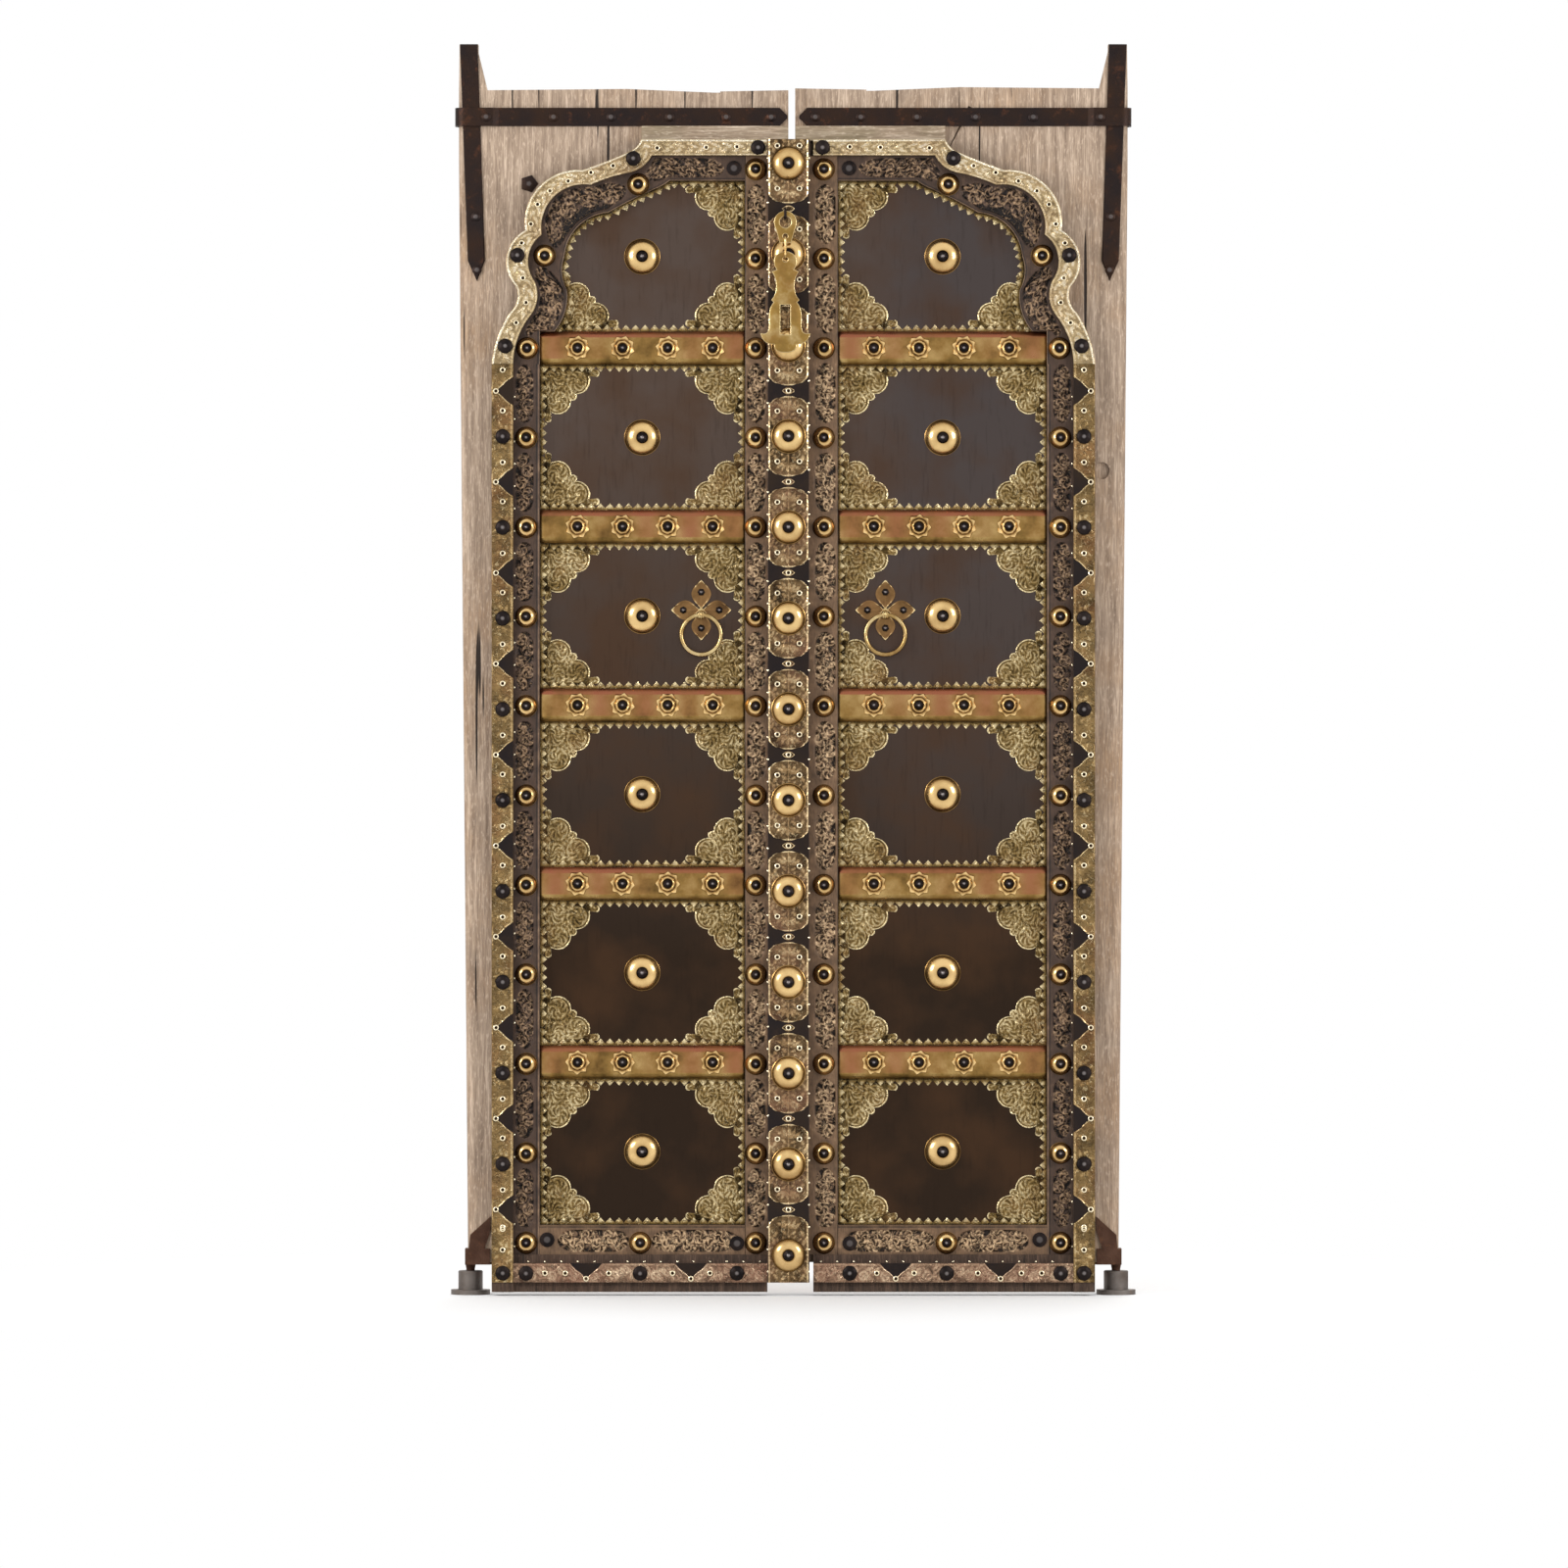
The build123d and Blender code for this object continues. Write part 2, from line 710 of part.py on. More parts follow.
# Round brass: domes, bosses and rosettes
def dome(radius, height):
    """A sheet dome with a nail hole, its rim on the XY plane."""
    flat = radius * 0.2
    with BuildPart() as shell:
        with BuildSketch(Plane.XZ):
            with BuildLine():
                ThreePointArc((radius, 0), (radius * 0.72, height * 0.62), (flat, height))
                Line((flat, height), (shank_r, height))
                Line((shank_r, height), (shank_r, height - dome_wall))
                Line((shank_r, height - dome_wall), (flat, height - dome_wall))
                ThreePointArc((flat, height - dome_wall),
                              ((radius - dome_wall) * 0.72, (height - dome_wall) * 0.58),
                              (radius - 2 * dome_wall, 0))
                Line((radius - 2 * dome_wall, 0), (radius, 0))
            make_face()
        revolve(axis=Axis.Z)
    return shell.part


def facing(places, depth):
    """Locations on the front at this depth, turned so that +Z looks out of the door."""
    return [Location((x, -depth, z), (90, 0, 0)) for x, z in places]


def boss_places(leaf):
    outer = [(436, z) for z in BOSS_ZS[:10]] + [(434.4, BOSS_ZS[10])]
    inner = [(leaf.boss_u, z) for z in BOSS_ZS]
    return leaf.spots(outer + inner + ARCH_BOSSES + [(250, 86)])


def domes(leaf):
    panel_dome = dome(panel_dome_r, panel_dome_h)
    boss = dome(boss_r, boss_h)
    strip_dome = dome(strip_dome_r, strip_dome_h)
    with BuildPart() as group:
        with Locations(*facing(leaf.spots([(leaf.dome_u, z) for z in DOME_ZS]), sheet_t)):
            add(panel_dome)
        with Locations(*facing(boss_places(leaf), strip_t)):
            add(boss)
        if leaf.side < 0:
            with Locations(*facing([(astragal_x, z) for z in PLAQUE_ZS], strip_face)):
                add(strip_dome)
    return group.part


def rosette_places(leaf):
    return leaf.spots([(rosette_first_u + i * rosette_pitch, z) for z in RAIL_ZS for i in range(4)])


def rosettes(leaf):
    with BuildPart() as group:
        with BuildSketch(front(rail_t)):
            with Locations(*rosette_places(leaf)):
                Rectangle(rosette_r * 1.42, rosette_r * 1.42)
                Rectangle(rosette_r * 1.42, rosette_r * 1.42, rotation=45)
        extrude(amount=rosette_t)
        with BuildSketch(front(rail_t + rosette_t)):
            with Locations(*rosette_places(leaf)):
                Circle(rosette_core_r)
        extrude(amount=rosette_h - rosette_t, taper=45)
    return group.part


# Nail heads and pins
def heads(places, depth, radius, height, sides=8, taper=28):
    with BuildSketch(front(depth)) as outline:
        with Locations(*places):
            RegularPolygon(radius, sides)
    extrude(outline.sketch, amount=height, taper=taper)


def petal_nail_places(leaf):
    x, z = leaf.at(ring_u, ring_z)
    reach = petal_tip * 0.6
    return [(x + reach * cos(a), z + reach * sin(a)) for a in (0, tau / 4, tau / 2, 3 * tau / 4)]


def nails(leaf):
    strap_z = (strap_low + strap_high) / 2
    flat = [u for u in strap_nails if u < 490]
    with BuildPart() as group:
        with BuildSketch(front(-board_t - clench)):
            with Locations(*leaf.spots([(u, strap_z) for u in flat])):
                Circle(shank_r)
        extrude(amount=board_t + clench + strap_t)
        with BuildSketch(front(-board_t - strap_t - clench)):
            with Locations(leaf.at(strap_nails[-1], strap_z)):
                Circle(shank_r)
        extrude(amount=board_t + clench + 3 * strap_t + 0.2)
        heads(leaf.spots([(u, strap_z) for u in flat]), strap_t, small_nail_r + 1, low_nail_h)
        heads([leaf.at(strap_nails[-1], strap_z)], 2 * strap_t + 0.2, small_nail_r + 1, low_nail_h)
        heads(leaf.spots([(519, 1762), (517, 1675)]), strap_t, small_nail_r, low_nail_h)
        side_nails = [(474, z) for z in PLAQUE_ZS[1:10]] + [(u, 37) for u in LOW_NAILS]
        heads(leaf.spots(side_nails), brass_face, big_nail_r, nail_h)
        end_nail = (leaf.border_end_u + 15, 1873)
        heads(leaf.spots(ARCH_NAILS + [end_nail]), brass_face, big_nail_r, nail_h)
        heads(leaf.spots([(leaf.stile_u + 18, 1840), (402, 91)]), strip_t, big_nail_r, 2.5, taper=10)
        heads(leaf.spots([(leaf.dome_u, z) for z in DOME_ZS]), sheet_t + panel_dome_h, dome_nail_r, nail_h)
        heads(boss_places(leaf), strip_t + boss_h, small_nail_r, nail_h)
        heads(rosette_places(leaf), rail_t + rosette_h, small_nail_r, nail_h)
        heads(petal_nail_places(leaf), sheet_t + pull_t, 4.6, low_nail_h - 1)
        if leaf.side < 0:
            heads([leaf.at(432, 1816)], 0, 15, low_nail_h, sides=5, taper=20)
            on_domes = [(astragal_x, z) for z in PLAQUE_ZS]
            heads(on_domes, strip_face + strip_dome_h, dome_nail_r - 1, low_nail_h)
    return group.part


def pins(leaf):
    side_pins = [(474, z + dz) for z in NOTCH_ZS[:9] for dz in (-32, 32)] + [(474, NOTCH_ZS[9] - 32)]
    side_pins += [(474, 1510), (474, 75), (474, 112)]
    low_pins = [(u, 37) for u in LOW_PINS]
    edge_pins = [(border_u - 7, z) for z in NOTCH_ZS] + [(u, band_low + 6) for u in LOW_NOTCHES]
    with BuildPart() as group:
        heads(leaf.spots(side_pins + low_pins + edge_pins + ARCH_PINS), brass_face, pin_r, pin_h)
        if leaf.side < 0:
            quads = [(astragal_x + dx, z + dz) for z in PLAQUE_ZS for dx in (-18, 18) for dz in (-41, 41)]
            heads(quads[4:], strip_face, pin_r, pin_h)
            between = [(astragal_x, z + plaque_pitch / 2) for z in PLAQUE_ZS[:-2]]
            heads(between, strip_face - brass_t, pin_r, pin_h)
    return group.part


def astragal():
    """The wood of the centre strip, which is nailed to the left leaf and laps over the right one."""
    width = astragal_left + astragal_right
    with BuildPart() as strip:
        with BuildSketch(front(strip_t)):
            with Locations((astragal_x, band_low)):
                Rectangle(width, arch_top - band_low, align=(Align.CENTER, Align.MIN))
        extrude(amount=astragal_t)
        outer = strip.faces().sort_by(Axis.Y)[0].edges().filter_by(Axis.Z)
        chamfer(outer, length=1.2)
    return strip.part


def astragal_iron():
    with BuildPart() as sheet:
        with BuildSketch(front(strip_t + astragal_t)):
            with Locations((astragal_x, band_low)):
                Rectangle(2 * plaque_half_w, arch_top - band_low, align=(Align.CENTER, Align.MIN))
        extrude(amount=iron_t)
    return sheet.part


def astragal_plaques():
    """Brass plaques with scalloped ends; the lowest one is cut straight at its foot."""
    w = plaque_half_w
    scallops = [(w, 48), (w * 0.96, 53), (w * 0.83, 56.5), (w * 0.66, 61.5), (w * 0.38, 63),
                (w * 0.2, 65.4), (0, plaque_half_h)]
    with BuildSketch(mode=Mode.PRIVATE) as plaque:
        with BuildLine():
            Line((w, 0), scallops[0])
            for i in (0, 2, 4):
                ThreePointArc(*scallops[i:i + 3])
            mirror(about=Plane.YZ)
            mirror(about=Plane.XZ)
        make_face()
    with BuildPart() as group:
        with BuildSketch(front(strip_t + astragal_t + iron_t)):
            with Locations(*[(astragal_x, z) for z in PLAQUE_ZS]):
                add(plaque.sketch)
            with Locations((astragal_x, band_low)):
                Rectangle(100, 60, align=(Align.CENTER, Align.MAX), mode=Mode.SUBTRACT)
            with Locations((astragal_x, arch_top)):
                Rectangle(100, 60, align=(Align.CENTER, Align.MIN), mode=Mode.SUBTRACT)
        extrude(amount=brass_t)
    return group.part


# Hasp that hangs from the centre strip
def hasp_staple():
    """A wire staple: two legs out of the strip and an upright bar in front."""
    rim = link_eye_r - link_hole_r
    reach = rim / 2 + staple_wire + eye_gap
    bar_y = hasp_y - reach - 0.4
    with BuildPart() as staple:
        with BuildLine(Plane.YZ.offset(hasp_x)):
            FilletPolyline(
                (-strip_face, link_axis_z + reach), (bar_y, link_axis_z + reach),
                (bar_y, link_axis_z - reach), (-strip_face, link_axis_z - reach), radius=2.6,
            )
        leg = Plane((hasp_x, -strip_face, link_axis_z + reach), x_dir=(1, 0, 0), z_dir=(0, -1, 0))
        with BuildSketch(leg):
            Circle(staple_wire)
        sweep()
    return staple.part


def hasp_link():
    eye_z = link_axis_z - (link_eye_r + link_hole_r) / 2
    low = loop_axis_z - 2.9
    with BuildPart() as link:
        with BuildSketch(front(-hasp_y - hasp_t / 2)):
            with Locations((hasp_x, eye_z)):
                Circle(link_eye_r)
            with BuildLine():
                Polyline((hasp_x - 9, eye_z - 10), (hasp_x - 17, low + 7), (hasp_x - 12, low),
                         (hasp_x + 12, low), (hasp_x + 17, low + 7), (hasp_x + 9, eye_z - 10), close=True)
            make_face()
            with Locations((hasp_x, eye_z)):
                Circle(link_hole_r, mode=Mode.SUBTRACT)
            with Locations((hasp_x, loop_axis_z + 2.9 + low_hole_r)):
                Circle(low_hole_r, mode=Mode.SUBTRACT)
        extrude(amount=hasp_t)
    return link.part


def hasp_loop():
    with BuildPart() as loop:
        with BuildLine(Plane.YZ.offset(hasp_x)):
            right = Line((hasp_y + loop_r, plate_axis_z), (hasp_y + loop_r, loop_axis_z))
            ThreePointArc(right @ 1, (hasp_y, loop_axis_z + loop_r), (hasp_y - loop_r, loop_axis_z))
            Line((hasp_y - loop_r, loop_axis_z), (hasp_y - loop_r, plate_axis_z))
            ThreePointArc((hasp_y - loop_r, plate_axis_z), (hasp_y, plate_axis_z - loop_r), right @ 0)
        with BuildSketch(Plane((hasp_x, hasp_y + loop_r, plate_axis_z), x_dir=(1, 0, 0), z_dir=(0, 0, 1))):
            Circle(loop_wire)
        sweep()
    return loop.part


def hasp_plate():
    """The slotted plate: round eye, vase-shaped body, flared bell and rounded lip."""
    eye_z = plate_axis_z - 4.2 - low_hole_r
    half = [
        (12, eye_z - 8), (17, eye_z - 15), (15, eye_z - 30), (18, eye_z - 50), (22, eye_z - 62),
        (20, eye_z - 70), (26, eye_z - 84), (26, eye_z - 106), (38, eye_z - 120), (26, eye_z - 122),
        (17, eye_z - 132), (13, plate_low_z),
    ]
    outline = [(hasp_x - w, z) for w, z in half] + [(hasp_x + w, z) for w, z in reversed(half)]
    with BuildPart() as plate:
        with BuildSketch(front(-hasp_y - hasp_t / 2)):
            with BuildLine():
                Polyline(*outline, close=True)
            make_face()
            with Locations((hasp_x, eye_z)):
                Circle(plate_eye_r)
                Circle(low_hole_r, mode=Mode.SUBTRACT)
            with Locations((hasp_x, eye_z - 98)):
                Rectangle(19, 52, mode=Mode.SUBTRACT)
        extrude(amount=hasp_t)
    return plate.part


# Ring pulls
def ring_plate(leaf):
    with BuildSketch() as petal:
        with BuildLine():
            ThreePointArc((petal_root, 0), (petal_tip * 0.5, petal_half_w), (petal_tip, 0))
            ThreePointArc((petal_tip, 0), (petal_tip * 0.5, -petal_half_w), (petal_root, 0))
        make_face()
    with BuildPart() as plate:
        with BuildSketch(front(sheet_t)):
            with Locations(leaf.at(ring_u, ring_z)):
                Circle(petal_root * 3)
                with PolarLocations(0, 4):
                    add(petal.sketch)
        extrude(amount=pull_t)
    return plate.part


def ring_eye(leaf):
    """The clip that carries the ring: a stem out of the plate and an eye at its end."""
    x, z = leaf.at(ring_u, ring_z)
    eye = (x, -pull_eye_y, z - pull_eye_drop)
    eye_r = ring_wire + ring_play + pull_eye_wire
    with BuildPart() as clip:
        with Locations(Location(eye, (0, 90, 0))):
            Torus(eye_r, pull_eye_wire)
        with BuildSketch(Plane((x, -sheet_t - pull_t, z), x_dir=(1, 0, 0), z_dir=(0, -1, 0))):
            Circle(3.6)
        extrude(amount=pull_eye_y - sheet_t - pull_t)
        with Locations(Location(eye, (0, 90, 0))):
            Cylinder(eye_r - 0.5, 12, mode=Mode.SUBTRACT)
            Torus(eye_r, pull_eye_wire)
    return clip.part


def ring(leaf):
    x, z = leaf.at(ring_u, ring_z)
    with BuildPart() as hoop:
        with Locations(Location((x, -pull_eye_y, z - pull_eye_drop - ring_r), (90, 0, 0))):
            Torus(ring_r, ring_wire)
    return hoop.part


leaf_pieces = {
    "pivot_board": pivot_board,
    "meeting_board": meeting_board,
    "filler_strip": filler_strip,
    "top_strap": top_strap,
    "pivot_strap": pivot_strap,
    "pivot_shoe": pivot_shoe,
    "side_moulding": side_moulding,
    "bottom_moulding": bottom_moulding,
    "arch_moulding": lambda leaf: arch_face(leaf, 0, border_t),
    "band_iron": band_iron,
    "band_brass": band_brass,
    "carved_arch": carved_arch,
    "carved_side": carved_side,
    "carved_stile": carved_stile,
    "carved_rail": carved_rail,
    "rails": rails,
    "panels": panels,
    "panel_trim": panel_trim,
    "domes": domes,
    "rosettes": rosettes,
    "nails": nails,
    "pins": pins,
    "ring_plate": ring_plate,
    "ring_eye": ring_eye,
    "ring": ring,
    "floor_socket": floor_socket,
}

centre_pieces = {
    "astragal": astragal,
    "astragal_iron": astragal_iron,
    "astragal_plaques": astragal_plaques,
    "hasp_staple": hasp_staple,
    "hasp_link": hasp_link,
    "hasp_loop": hasp_loop,
    "hasp_plate": hasp_plate,
}

for leaf in LEAVES:
    for label, build in leaf_pieces.items():
        save(build(leaf), f"{leaf.name}_{label}")

for label, build in centre_pieces.items():
    save(build(), label)
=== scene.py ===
"""A pair of old iron and brass door leaves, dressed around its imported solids.

Lengths below are millimetres unless a name says otherwise. On each leaf u is the distance from
the meeting line towards the leaf's pivot, so x = side * u, and a depth is how far a surface
stands in front of the boards, so y = -depth.
"""
from math import atan2, cos, pi, radians, sin, tau

import bmesh
import bpy
import numpy as np
from mathutils import Euler, Matrix, Vector

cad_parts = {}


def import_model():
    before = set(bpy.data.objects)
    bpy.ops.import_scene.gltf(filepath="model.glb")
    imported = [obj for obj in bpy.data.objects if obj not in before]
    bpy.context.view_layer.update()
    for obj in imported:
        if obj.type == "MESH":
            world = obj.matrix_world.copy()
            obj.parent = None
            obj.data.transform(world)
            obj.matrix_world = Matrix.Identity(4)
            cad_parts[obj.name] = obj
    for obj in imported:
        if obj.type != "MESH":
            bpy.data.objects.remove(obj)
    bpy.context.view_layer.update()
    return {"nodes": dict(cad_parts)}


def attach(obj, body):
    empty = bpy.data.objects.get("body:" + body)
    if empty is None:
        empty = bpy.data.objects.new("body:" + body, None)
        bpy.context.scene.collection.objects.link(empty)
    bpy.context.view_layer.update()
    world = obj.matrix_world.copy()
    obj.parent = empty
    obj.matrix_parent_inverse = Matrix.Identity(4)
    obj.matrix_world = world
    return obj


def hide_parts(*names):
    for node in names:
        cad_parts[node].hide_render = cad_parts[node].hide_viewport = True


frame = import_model()

MM = 0.001
SIDES = {"left": -1, "right": 1}

# Places and sizes of the solids
BORDER_END = {"left": 42.4, "right": 32.6}
STILE = {"left": 79.0, "right": 73.0}
EDGE = {"left": 8.0, "right": 3.0}
BOSS_U = {"left": 61.2, "right": 49.8}
DOME_U = {"left": 247.0, "right": 244.0}
BORDER_OUT, BORDER_IN, SIDE_IN = 492.0, 457.0, 414.0
BAND_LOW, BAND_HIGH, LEDGE_HIGH = 22.0, 53.2, 66.8
ARCH_SPRING, ARCH_TOP, ARCH_INNER_TOP = 1520.0, 1886.0, 1860.0
LOW_RAIL_TOP, PANEL_TOP = 114.8, 1820.0
BOARDS, STRIP_FACE, RELIEF = 32.0, 24.0, 3.5
BORDER_FACE, BRASS_FACE = 37.5, 38.7
CENTRE_FACE, CENTRE_X, PLAQUE_W, PLAQUE_H = 48.7, -8.0, 33.0, 66.0
RAIL_HALF, RAIL_EDGE, RAIL_FACE = 27.0, 13.0, 20.0
SHEET_FACE = 2.0
RING_U, RING_Z, CLIP_DEPTH, CLIP_DROP = 150.5, 1119.0, 13.0, 8.0
HASP_X, HASP_FACE = -13.0, 71.5
RAIL_ZS = [380.4 + 291.6 * i for i in range(5)]
BOSS_ZS = [86.0 + 146.0 * i for i in range(13)]
PLAQUE_PITCH = 148.3
PLAQUE_ZS = [66.8 + PLAQUE_PITCH * i for i in range(13)]
BETWEEN_ZS = [z + PLAQUE_PITCH / 2 for z in PLAQUE_ZS]
NOTCH_ZS = BETWEEN_ZS[:10]
STAR_U, STAR_PITCH = 131.5, 73.6
BAND_MIDDLE, FOOT_MIDDLE, STRAP_Z = 474.0, 37.0, 1925.0
ARCH_BOSSES = [(253, 1813.5), (406, 1697), (434.4, BOSS_ZS[10])]
PANEL_LOWS = [LOW_RAIL_TOP] + [z + RAIL_HALF for z in RAIL_ZS]
PANEL_TOPS = [z - RAIL_HALF for z in RAIL_ZS] + [PANEL_TOP]
DOME_ZS = [(low + top) / 2 for low, top in zip(PANEL_LOWS, PANEL_TOPS)]
LOW_NOTCHES = (338, 167)
RAIL_TOP = RAIL_ZS[-1] + RAIL_HALF

# Edges of the cusped arch, each row one arc by start, middle and end
ARCH_OUTER = [
    ((248, 1886), (254, 1876), (263, 1868)), ((263, 1868), (306, 1850), (345, 1836)),
    ((345, 1836), (412, 1812), (437, 1738)), ((437, 1738), (466, 1702), (453, 1647)),
    ((453, 1647), (450, 1624), (462, 1604)), ((462, 1604), (480, 1569), (492, 1520)),
]
ARCH_INNER = [
    ((231, 1860), (247, 1841), (268, 1832)), ((268, 1832), (300, 1824), (331, 1812)),
    ((331, 1812), (388, 1795), (410, 1731)), ((410, 1731), (432, 1696), (422, 1655)),
    ((422, 1655), (418, 1624), (431, 1596)), ((431, 1596), (449, 1563), (457, 1520)),
]
ARCH_PANEL = [
    ((202, 1820), (214, 1812), (225, 1807)), ((225, 1807), (263, 1789), (302, 1768)),
    ((302, 1768), (346, 1750), (374, 1696)), ((374, 1696), (378, 1672), (370, 1642)),
    ((370, 1642), (372, 1609), (390, RAIL_TOP)),
]


# Colours and finishes


def rgb(code):
    """An sRGB hex colour as linear red, green, blue and alpha."""
    parts = [int(code[i:i + 2], 16) / 255 for i in (1, 3, 5)]
    return (*[c / 12.92 if c <= 0.04045 else ((c + 0.055) / 1.055) ** 2.4 for c in parts], 1.0)


def put(tree, kind, inputs=(), stops=None, out=0, **settings):
    """Adds a node and gives back one of its outputs, or the node itself when out is None.

    Inputs are values, hex colours or outputs to link: in the order of the sockets, or by name or number.
    """
    made = tree.nodes.new(kind)
    for key, value in settings.items():
        setattr(made, key, value)
    for key, value in inputs.items() if isinstance(inputs, dict) else enumerate(inputs):
        if isinstance(value, bpy.types.NodeSocket):
            tree.links.new(value, made.inputs[key])
        else:
            made.inputs[key].default_value = rgb(value) if str(value).startswith("#") else value
    if stops:
        ramp = made.color_ramp.elements
        while len(ramp) < len(stops):
            ramp.new(0.5)
        for element, (place, code) in zip(ramp, stops):
            element.position = place
            element.color = rgb(code)
    return made if out is None else made.outputs[out]


def finish(name, build, **constants):
    """A material whose colour, roughness and bump come from build(tree, point in metres)."""
    material = bpy.data.materials.new(name)
    material.use_nodes = True
    tree = material.node_tree
    shader = tree.nodes["Principled BSDF"]
    looks = build(tree, put(tree, "ShaderNodeTexCoord", out="Object"))
    for socket, value in constants.items():
        shader.inputs[socket.replace("_", " ")].default_value = value
    tree.links.new(looks["colour"], shader.inputs["Base Color"])
    tree.links.new(looks["rough"], shader.inputs["Roughness"])
    height, depth_mm = looks["bump"]
    bump = put(tree, "ShaderNodeBump", {"Height": height, "Distance": depth_mm * MM})
    tree.links.new(bump, shader.inputs["Normal"])
    return material


def specks(tree, point, size, detail=5.0, roughness=0.6, stretch=(1, 1, 1), seed=0.0):
    """Noise between 0 and 1 whose blobs are about this many mm across, pulled out by stretch."""
    scale = [1 / (size * MM * s) for s in stretch]
    placed = put(tree, "ShaderNodeMapping", {"Vector": point, "Scale": scale, "Location": (seed, seed, seed)})
    return put(tree, "ShaderNodeTexNoise", {"Vector": placed, "Scale": 1.0, "Detail": detail,
                                            "Roughness": roughness})


def tangle(tree, point, size, width, seed=0.0):
    """Thin curling lines about this many mm apart: 1 along the lines, 0 between them."""
    placed = put(tree, "ShaderNodeMapping", {"Vector": point, "Scale": [1 / (size * MM)] * 3,
                                             "Location": (seed, seed, seed)})
    noise = put(tree, "ShaderNodeTexNoise", {"Vector": placed, "Scale": 1.0, "Detail": 1.0, "Roughness": 0.4,
                                             "Distortion": 0.8})
    rising = put(tree, "ShaderNodeMapRange", (noise, 0.5 - width, 0.5))
    falling = put(tree, "ShaderNodeMapRange", (noise, 0.5 + width, 0.5))
    return put(tree, "ShaderNodeMath", (rising, falling), operation="MINIMUM")


def stain(tree, colour, tone, source, low, high, share=1.0):
    """The colour with a tone laid over it, up to this share, as the source goes from low to high."""
    cover = put(tree, "ShaderNodeMapRange", (source, low, high, 0.0, share))
    return put(tree, "ShaderNodeMix", {0: cover, 6: colour, 7: tone}, out=2, data_type="RGBA")


def relief(tree):
    """The worked height of a chased or carved surface, 0 in its ground and 1 on its high places."""
    return put(tree, "ShaderNodeAttribute", attribute_name="worked", out="Fac")


def zone(tree):
    """Where a finish changes: sunk leafwork in the carvings, bare copper on the rails."""
    return put(tree, "ShaderNodeAttribute", attribute_name="zone", out="Fac")


def weathered_boards(pale, middle, dark, warm, lie=(1, 1, 16), crack_level=0.29):
    """Sun-bleached hardwood, sawn and planed: grey grain with dark fibres, pores and a few cracks."""
    def build(tree, point):
        fine, short, long = [tuple(1 if s == 1 else share * s for s in lie) for share in (1.2, 0.25, 2.5)]
        grain = specks(tree, point, 9, detail=7, stretch=lie)
        fibre = specks(tree, point, 1.8, detail=3, stretch=fine, seed=3.1)
        pores = specks(tree, point, 2.6, detail=4, stretch=short, seed=4.7)
        patches = specks(tree, point, 190, detail=4, seed=7.7)
        cracks = specks(tree, point, 8, detail=1.5, roughness=0.3, stretch=long, seed=5.3)
        colour = put(tree, "ShaderNodeValToRGB", (grain,), stops=[(0.32, dark), (0.5, middle), (0.66, pale)])
        colour = stain(tree, colour, warm, patches, 0.45, 0.68, 0.8)
        colour = stain(tree, colour, dark, fibre, 0.6, 0.42, 0.6)
        colour = stain(tree, colour, pale, pores, 0.54, 0.7, 0.65)
        colour = stain(tree, colour, "#2b221c", cracks, crack_level, crack_level - 0.025)
        split = put(tree, "ShaderNodeMapRange", (cracks, crack_level, crack_level - 0.025))
        depth = put(tree, "ShaderNodeMath", (fibre, split), operation="SUBTRACT")
        rough = put(tree, "ShaderNodeMapRange", (grain, 0.3, 0.7, 0.85, 0.65))
        return {"colour": colour, "rough": rough, "bump": (depth, 0.5)}
    return build


def waxed_carving(ground, body, high):
    """Carved hardwood, black with old oil in its ground and rubbed to waxed brown on its edges."""
    def build(tree, point):
        height = relief(tree)
        mottle = specks(tree, point, 24, detail=6)
        fibre = specks(tree, point, 1.4, detail=4, stretch=(1, 1, 9), seed=2.0)
        uneven = put(tree, "ShaderNodeMapRange", (mottle, 0.3, 0.7, -0.16, 0.16))
        lift = put(tree, "ShaderNodeMath", (uneven, height), operation="ADD")
        colour = put(tree, "ShaderNodeValToRGB", (lift,), stops=[(0.08, ground), (0.5, body), (0.98, high)])
        colour = stain(tree, colour, ground, fibre, 0.4, 0.62, 0.35)
        # The knife's finest curls: dark cuts beside rubbed edges, only inside the sunk fields
        sunk = zone(tree)
        cuts, edges = [put(tree, "ShaderNodeMath", (tangle(tree, point, size, width, seed=seed), sunk),
                           operation="MULTIPLY") for size, width, seed in ((14, 0.04, 1.0), (11, 0.035, 6.0))]
        colour = stain(tree, colour, ground, cuts, 0.1, 0.8, 0.9)
        colour = stain(tree, colour, high, edges, 0.3, 1.0, 0.6)
        step = put(tree, "ShaderNodeMath", (edges, cuts), operation="SUBTRACT")
        rough = put(tree, "ShaderNodeMapRange", (height, 0, 1, 0.7, 0.42))
        return {"colour": colour, "rough": rough, "bump": (step, 1.2)}
    return build


